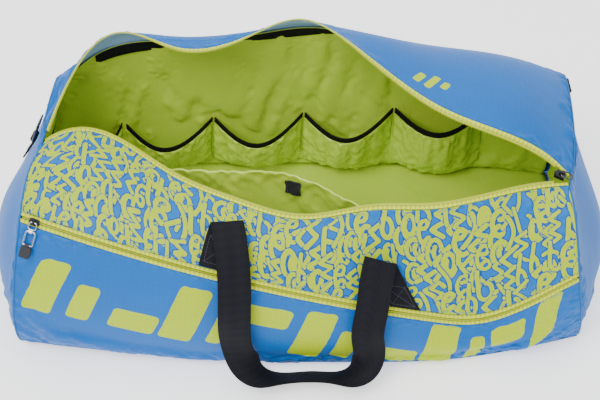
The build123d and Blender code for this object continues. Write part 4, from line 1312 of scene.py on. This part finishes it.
@dataclass
class MainZip:
    """The open mouth's tapes and teeth."""

    pitch: float = 2.0 * MM
    closed: float = 17.5 * MM

    def sheets(self) -> list[Sheet]:
        """The two tapes."""
        across = (SEAM_GAP / LENGTH, 1 - SEAM_GAP / LENGTH)
        made = []
        for name, skin in (("front", FRONT), ("lid", BACK)):
            tape = (below(skin, 0, COIL_WIDTH + ZIP_GAP), below(skin, 0, MAIN_TAPE))
            made.append(Sheet(f"{name}_mouth_tape", skin, across, tape, 0.0, TAPE_WALL, Finish.TAPE, "zip_tape",
                              (f"{name}_zip_tape",), pitch=0.0018))
        return made

    def teeth(self) -> None:
        """Coil teeth along both edges of the mouth, each a small block, on a cord."""
        for name, skin in (("front", FRONT), ("lid", BACK)):
            u = np.linspace(SEAM_GAP / LENGTH, 1 - self.closed / LENGTH, 400)
            v = below(skin, 0, COIL_WIDTH / 2)(u)
            path = skin.point(u, v)
            length = arc_lengths(path[None], 1)[0]
            at = np.arange(self.pitch / 2, length[-1], self.pitch)
            at_u = np.interp(at, length, u)
            at_v = below(skin, 0, COIL_WIDTH / 2)(at_u)
            centres = skin.point(at_u, at_v)
            out = skin.normal(at_u, at_v)
            heading = skin.point(at_u + 0.002, at_v) - skin.point(at_u - 0.002, at_v)
            teeth = beads(f"{name}_mouth_teeth", centres, np.cross(heading, out), out,
                          (COIL_WIDTH, 1.25 * MM, COIL_WALL), Finish.COIL, taper=0.75)
            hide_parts(f"{name}_zip_coil")
            inner = skin.point(u, below(skin, 0, COIL_WIDTH * 0.82)(u))
            tube(f"{name}_mouth_cord", inner, 0.75 * MM, Finish.COIL, sides=6)


@dataclass
class PocketZip:
    """The closed zip of the front pocket."""

    pitch: float = 1.9 * MM

    def sheets(self) -> list[Sheet]:
        """The two tapes beside the teeth."""
        across = (SEAM_GAP / LENGTH * 2, 1 - SEAM_GAP / LENGTH)
        near = COIL_WIDTH / 2 + ZIP_GAP
        far = near + POCKET_TAPE
        return [
            Sheet("pocket_upper_tape", FRONT, across, (below(FRONT, ZIP_ROW, -far), below(FRONT, ZIP_ROW, -near)), 0.0,
                  TAPE_WALL, Finish.TAPE, "zip_tape", ("pocket_zip_upper_tape",), pitch=0.0016),
            Sheet("pocket_lower_tape", FRONT, across, (below(FRONT, ZIP_ROW, near), below(FRONT, ZIP_ROW, far)), 0.0,
                  TAPE_WALL, Finish.TAPE, "zip_tape", ("pocket_zip_lower_tape",), pitch=0.0016)]

    def teeth(self) -> None:
        """The meshed teeth, in two staggered rows."""
        u = np.linspace(0.004, 0.996, 500)
        path = FRONT.point(u, np.full_like(u, ZIP_ROW))
        length = arc_lengths(path[None], 1)[0]
        at = np.arange(self.pitch / 2, length[-1], self.pitch / 2)
        at_u = np.interp(at, length, u)
        side = np.where(np.arange(len(at)) % 2, 1.0, -1.0) * 0.45 * MM
        at_v = np.full_like(at_u, ZIP_ROW)
        centres = FRONT.point(at_u, at_v)
        out = FRONT.normal(at_u, at_v)
        heading = unit(FRONT.point(at_u + 0.002, at_v) - FRONT.point(at_u - 0.002, at_v))
        across = np.cross(heading, out)
        teeth = beads("pocket_teeth", centres + across * side[:, None], across, out,
                      (1.7 * MM, 0.85 * MM, COIL_WALL), Finish.COIL, taper=0.7)
        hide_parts("pocket_zip_coil")


@dataclass
class Handle:
    """A carrying handle: a free loop of webbing and the two box-stitched anchors that hold it."""

    name: str
    skin: Skin
    feet: tuple[tuple[float, float], tuple[float, float]]
    folds: tuple[tuple[float, float], tuple[float, float]]
    strands: tuple[tuple[tuple[float, float, float], ...], tuple[tuple[float, float, float], ...]]
    free: tuple[tuple[float, float, float], ...]
    lie: tuple[float, float, float]
    width: float = 40 * MM
    thickness: float = 2.2 * MM
    lift: float = 0.8 * MM

    def route(self) -> tuple[Array, Array]:
        """The loop's points and the direction across it at each, which at its ends is the line of the fold."""
        right = np.array([1.0, 0, 0])
        lie = np.array(self.lie)
        down, up = ([self.skin.out(np.array(s), np.array(t), rise * MM) for s, t, rise in strand]
                    for strand in self.strands)
        middle = [np.array(p) * SIZE for p in self.free]
        across = [right] * len(down) + [right, right + lie, lie, lie - right, -right] + [-right] * len(up)
        path = np.array(down + middle + up[::-1])
        fold_line = unit(path[-1] - path[0])
        across[0], across[-1] = fold_line, -fold_line
        return path, np.array(across)

    def build(self) -> None:
        """Make the loop, its anchors and their stitches."""
        path, across = self.route()
        loop = Ribbon(path, across, self.width)
        self.strip(f"{self.name}_loop_webbing", loop, (0.0, 1.0), self.thickness / 2, 260, f"{self.name}_handle",
                   f"{self.name}_loop")
        for side, foot, fold in zip(("left", "right"), self.feet, self.folds):
            strap = Strap(self.skin, foot, fold, self.width)
            middle = strap.point(np.array([0.0, 1.0]), np.array([0.5, 0.5]))
            reach = float(np.linalg.norm(middle[1] - middle[0]))
            end = 1 - (self.thickness + 2 * MM) / reach
            top = self.lift + self.thickness
            self.strip(f"{self.name}_{side}_webbing", strap, (0.0, end), top, 60, f"{self.name}_{side}_anchor", "bag")
            self.box_stitch(f"{self.name}_{side}_stitches", strap, end, top, reach)
            self.ramp(side, strap, end, loop)

    def strip(self, name: str, surface: Surface, span: tuple[float, float], top: float, count: int, node: str,
              body: str) -> None:
        """A length of webbing whose edges are drawn in, made as two faces that meet in rounded edges."""
        u = np.linspace(*span, count)[:, None]
        v = np.array([0.0, 0.012, 0.04, 0.1, 0.2, 0.35, 0.5, 0.65, 0.8, 0.9, 0.96, 0.988, 1.0])[None, :]
        u, v = np.broadcast_arrays(u, v)
        points, normals = surface.point(u, v), surface.normal(u, v)
        edge = np.clip(np.minimum(v, 1 - v) / 0.03, 0, 1)
        half = self.thickness / 2 * (0.35 + 0.65 * np.sqrt(edge))
        middle = top - self.thickness / 2
        outer = points + normals * (middle + half)[..., None]
        inner = points + normals * (middle - half)[..., None]
        down, along = np.gradient(outer, axis=0), np.gradient(outer, axis=1)
        flip = float(np.sum(np.cross(down, along) * normals)) < 0
        vertices, faces = wall(outer, inner)
        piece = make_object(name, vertices, faces[:, ::-1] if flip else faces, Finish.WEBBING)
        uv = np.stack([arc_lengths(points, 0), v * self.width], -1)
        set_uv(piece, np.concatenate([uv, uv]))
        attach(piece, body)
        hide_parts(node)
        length = float(arc_lengths(points, 0)[-1].max())

    def ramp(self, side: str, strap: Strap, end: float, loop: Ribbon) -> None:
        """The short turn of webbing from an anchor's end up to the loop's end.

        Its lines go straight from one to the other, lifted by a half sine, so that it reads as a fold.
        """
        v = np.linspace(0, 1, 13)
        share = 0.0 if side == "left" else 1.0
        foot = strap.out(np.full_like(v, end - 0.02), v, self.lift + self.thickness / 2)
        head = loop.point(np.full_like(v, share), v)
        if np.linalg.norm(foot[0] - head[0]) > np.linalg.norm(foot[0] - head[-1]):
            head = head[::-1]
        out = strap.normal(np.array(1.0), np.array(0.5))
        t = np.linspace(0, 1, 9)[:, None, None]
        middle = (1 - t) * foot + t * head + out * (0.0012 * np.sin(math.pi * t))
        down, along = np.gradient(middle, axis=0), np.gradient(middle, axis=1)
        normals = unit(np.cross(down, along))
        normals *= np.sign(np.sum(normals * out))
        half = self.thickness / 2 * 0.9
        turned = float(np.sum(np.cross(down, along) * normals)) < 0
        points, faces = wall(middle + normals * half, middle - normals * half)
        piece = make_object(f"{self.name}_{side}_fold", points, faces[:, ::-1] if turned else faces, Finish.WEBBING)
        uv = np.stack([arc_lengths(middle, 0), np.broadcast_to(v * self.width, middle.shape[:2])], -1)
        set_uv(piece, np.concatenate([uv, uv]))
        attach(piece, "bag")

    def box_stitch(self, name: str, strap: Strap, end: float, top: float, reach: float) -> None:
        """A square of stitches with its two diagonals, on each anchor."""
        margin = 5 * MM
        tall = min(30 * MM, reach - 2 * margin)
        left, right = margin / self.width, 1 - margin / self.width
        low, high = margin / reach, (margin + tall) / reach
        runs = [((low, left), (low, right)), ((high, left), (high, right)), ((low, left), (high, left)),
                ((low, right), (high, right)), ((low, left), (high, right)), ((low, right), (high, left))]
        centres, heading, out = [], [], []
        for (u0, v0), (u1, v1) in runs:
            t = np.linspace(0, 1, 40)
            u, v = u0 + (u1 - u0) * t, v0 + (v1 - v0) * t
            path = strap.out(u, v, top + 0.15 * MM)
            middle, ahead = stitch_line(path, 3.2 * MM)
            centres.append(middle)
            heading.append(ahead)
            at = np.linspace(0, 1, len(middle))
            out.append(strap.normal(u0 + (u1 - u0) * at, v0 + (v1 - v0) * at))
        beads(name, np.vstack(centres), np.vstack(heading), np.vstack(out), (2.4 * MM, 0.8 * MM, 0.5 * MM),
              Finish.DARK_THREAD)


FRONT_HANDLE = Handle(
    "front", FRONT, ((0.347, 0.0), (0.688, 0.0)), ((0.366, 0.75), (0.641, 1.05)),
    (((0.366, 0.75, 11.0), (0.375, 1.30, 11.2), (0.382, 2.0, 10.6), (0.386, 2.7, 12.0)),
     ((0.641, 1.05, 15.4), (0.630, 1.50, 14.2), (0.622, 2.05, 12.6), (0.617, 2.6, 12.2))),
    ((-0.205, -1.27, 0.27), (-0.150, -1.32, 0.125), (0.045, -1.30, 0.067), (0.190, -1.32, 0.125),
     (0.235, -1.275, 0.24)),
    (0.0, 0.81, -0.59))
REAR_HANDLE = Handle(
    "rear", BACK, ((0.37, 3.2), (0.63, 3.2)), ((0.37, 2.4), (0.63, 2.4)),
    (((0.37, 2.4, 5.2), (0.37, 2.62, 7.0), (0.37, 2.85, 7.0), (0.37, 3.1, 8.0)),
     ((0.63, 2.4, 5.2), (0.63, 2.62, 7.0), (0.63, 2.85, 7.0), (0.63, 3.1, 8.0))),
    ((-0.235, 1.165, 0.27), (-0.165, 1.185, 0.125), (0.0, 1.20, 0.067), (0.165, 1.185, 0.125),
     (0.235, 1.165, 0.27)),
    (0.0, -0.81, -0.59))


def with_zip_feet(handle: Handle) -> Handle:
    """The front handle's feet tuck in under the pocket zip's upper tape."""
    gap = COIL_WIDTH / 2 + ZIP_GAP + POCKET_TAPE + 2 * SEAM_GAP
    edge = ZIP_ROW - float(FRONT.share_for(np.array(0.5), np.array(ZIP_ROW), gap))
    handle.feet = tuple((u, edge) for u, _ in handle.feet)
    return handle


@dataclass
class Base:
    """The base cloth, its stiffening board and the lining over it."""

    def build(self) -> None:
        """A flat sheet of cloth and a lining that follow the base's outline."""
        for name, low, high, inset, finish, slot_name, node in (
                ("base_cloth", 0.0, 1.2, 0.0, Finish.SHELL, "blue_cloth", "base_panel"),
                ("base_inner_cloth", 4.9, 5.7, 7.0, Finish.LINING, "lining", "base_lining")):
            s = np.linspace(0, 1, 90)
            near, far = FRONT_FOOT.at(s), BACK_FOOT.at(s)
            shrink = 1 - inset * MM / SIZE[0]
            near[:, 0] *= shrink
            far[:, 0] *= shrink
            near[:, 1] += inset * MM
            far[:, 1] -= inset * MM
            share = np.linspace(0, 1, 40)[:, None, None]
            top = (1 - share) * near[None] + share * far[None]
            top[..., 2] = high * MM
            under = top.copy()
            under[..., 2] = low * MM
            if name == "base_inner_cloth":
                x, y = top[..., 0], top[..., 1]
                top[..., 2] += 0.0012 * np.sin(60 * x + 20 * y) * np.sin(45 * y) * np.sin(math.pi * share[..., 0])
            points, faces = wall(top, under)
            piece = make_object(name, points, faces[:, ::-1], finish)
            set_uv(piece, np.concatenate([top[..., :2], under[..., :2]]))
            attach(piece, "bag")
            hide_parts(node)


NODE_FINISH = {
    "base_board": Finish.BOARD, "main_slider": Finish.SLIDER,
    "main_pull_ring": Finish.RING, "pocket_slider": Finish.SLIDER, "pocket_pull_link": Finish.PULL,
    "pocket_pull_frame": Finish.PULL, "pocket_pull_tab": Finish.RUBBER, "left_ring": Finish.RING,
    "right_ring": Finish.RING, "left_ring_tab": Finish.TAB_WEBBING, "right_ring_tab": Finish.TAB_WEBBING}


def dress_nodes() -> None:
    """Give the CAD pieces that stay their finishes."""
    for name, finish in NODE_FINISH.items():
        node = bpy.data.objects[name]
        for slot_now in node.material_slots:
            slot_now.material = material(finish)
        LOG.info("%s: %s", name, finish.value.name)


# --------------------------------------------------------------------------- studio
@dataclass(frozen=True)
class Studio:
    """A pale floor, soft lights and the camera."""

    elevation: float = 48.0
    distance: float = 1.72
    aim: tuple[float, float, float] = (0.0, 0.0, 0.105)
    lens: float = 79.0

    def floor(self) -> None:
        """A wide pale floor that rises behind the bag in one smooth sweep."""
        y = np.concatenate([np.linspace(-6, 3, 20), 3 + 1.5 * np.sin(np.linspace(0.1, math.pi / 2, 16)), [4.5]])
        z = np.concatenate([np.zeros(20), 1.5 - 1.5 * np.cos(np.linspace(0.1, math.pi / 2, 16)), [6.0]])
        x = np.linspace(-6, 6, 9)
        points = np.stack(np.broadcast_arrays(x[:, None], y[None], z[None]), -1)
        mesh = bpy.data.meshes.new("floor")
        mesh.from_pydata(points.reshape(-1, 3), [], grid_faces(9, len(y))[:, ::-1])
        mesh.shade_smooth()
        paper, tree, shader = start_material("studio_paper")
        place = add(tree, "ShaderNodeTexCoord").outputs["Object"]
        mottle = add(tree, "ShaderNodeTexNoise", {"Vector": place, "Scale": 3.0, "Detail": 3.0})
        tone = add(tree, "ShaderNodeMix", {"Factor": mottle.outputs[0], 6: linear("#f3f3f3"), 7: linear("#f6f6f6")},
                   data_type="RGBA")
        tree.links.new(tone.outputs[2], shader.inputs["Base Color"])
        shader.inputs["Roughness"].default_value = 0.9
        shader.inputs["Emission Color"].default_value = linear("#ffffff")
        shader.inputs["Emission Strength"].default_value = 0.9
        mesh.materials.append(paper)
        piece = bpy.data.objects.new("floor", mesh)
        bpy.context.scene.collection.objects.link(piece)

    def lights(self) -> None:
        """A large key from the upper left, a fill from the right and a wash from behind."""
        for name, place, size, power in (("key", (-1.0, -1.1, 2.4), 1.5, 70.0),
                                         ("fill", (1.9, -1.4, 1.7), 2.2, 16.0),
                                         ("top", (0.2, 0.6, 2.8), 2.4, 44.0)):
            lamp = bpy.data.lights.new(name, "AREA")
            lamp.size = size
            lamp.energy = power
            lamp_object = bpy.data.objects.new(name, lamp)
            lamp_object.location = place
            aim = np.array(self.aim) - np.array(place)
            flat = math.hypot(aim[0], aim[1])
            tilt = math.pi / 2 - math.atan2(-aim[2], flat)
            lamp_object.rotation_euler = (tilt, 0, math.atan2(-aim[0], aim[1]))
            bpy.context.scene.collection.objects.link(lamp_object)
        world = bpy.data.worlds.new("studio")
        world.use_nodes = True
        background = world.node_tree.nodes["Background"]
        background.inputs["Color"].default_value = linear("#ffffff")
        background.inputs["Strength"].default_value = 0.6
        bpy.context.scene.world = world

    def camera(self) -> None:
        """The camera, turned down to the bag."""
        lens = bpy.data.cameras.new("camera")
        lens.lens = self.lens
        lens.sensor_width = 36
        eye = bpy.data.objects.new("camera", lens)
        tilt = math.radians(self.elevation)
        eye.location = (self.aim[0], self.aim[1] - self.distance * math.cos(tilt),
                        self.aim[2] + self.distance * math.sin(tilt))
        eye.rotation_euler = (math.pi / 2 - tilt, 0, 0)
        bpy.context.scene.collection.objects.link(eye)
        bpy.context.scene.camera = eye


def main() -> None:
    """Build every sub-assembly in order."""
    logging.basicConfig(level=logging.INFO, format="%(message)s")
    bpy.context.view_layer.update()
    shell, inside, main_zip, pocket_zip = Shell(), Inside(), MainZip(), PocketZip()
    sheets = shell.sheets() + inside.sheets() + inside.bands() + main_zip.sheets() + pocket_zip.sheets()
    for sheet in sheets:
        sheet.plan()
    simulate(sheets)
    for sheet in sheets:
        sheet.finish_up()
    finished = {sheet.name: sheet for sheet in sheets}
    shell.seams()
    shell.topstitch(finished)
    inside.patch(finished["divider_cloth"])
    main_zip.teeth()
    pocket_zip.teeth()
    Base().build()
    with_zip_feet(FRONT_HANDLE).build()
    REAR_HANDLE.build()
    dress_nodes()
    studio = Studio()
    studio.floor()
    studio.lights()
    studio.camera()
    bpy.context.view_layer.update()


if __name__ == "__main__":
    main()
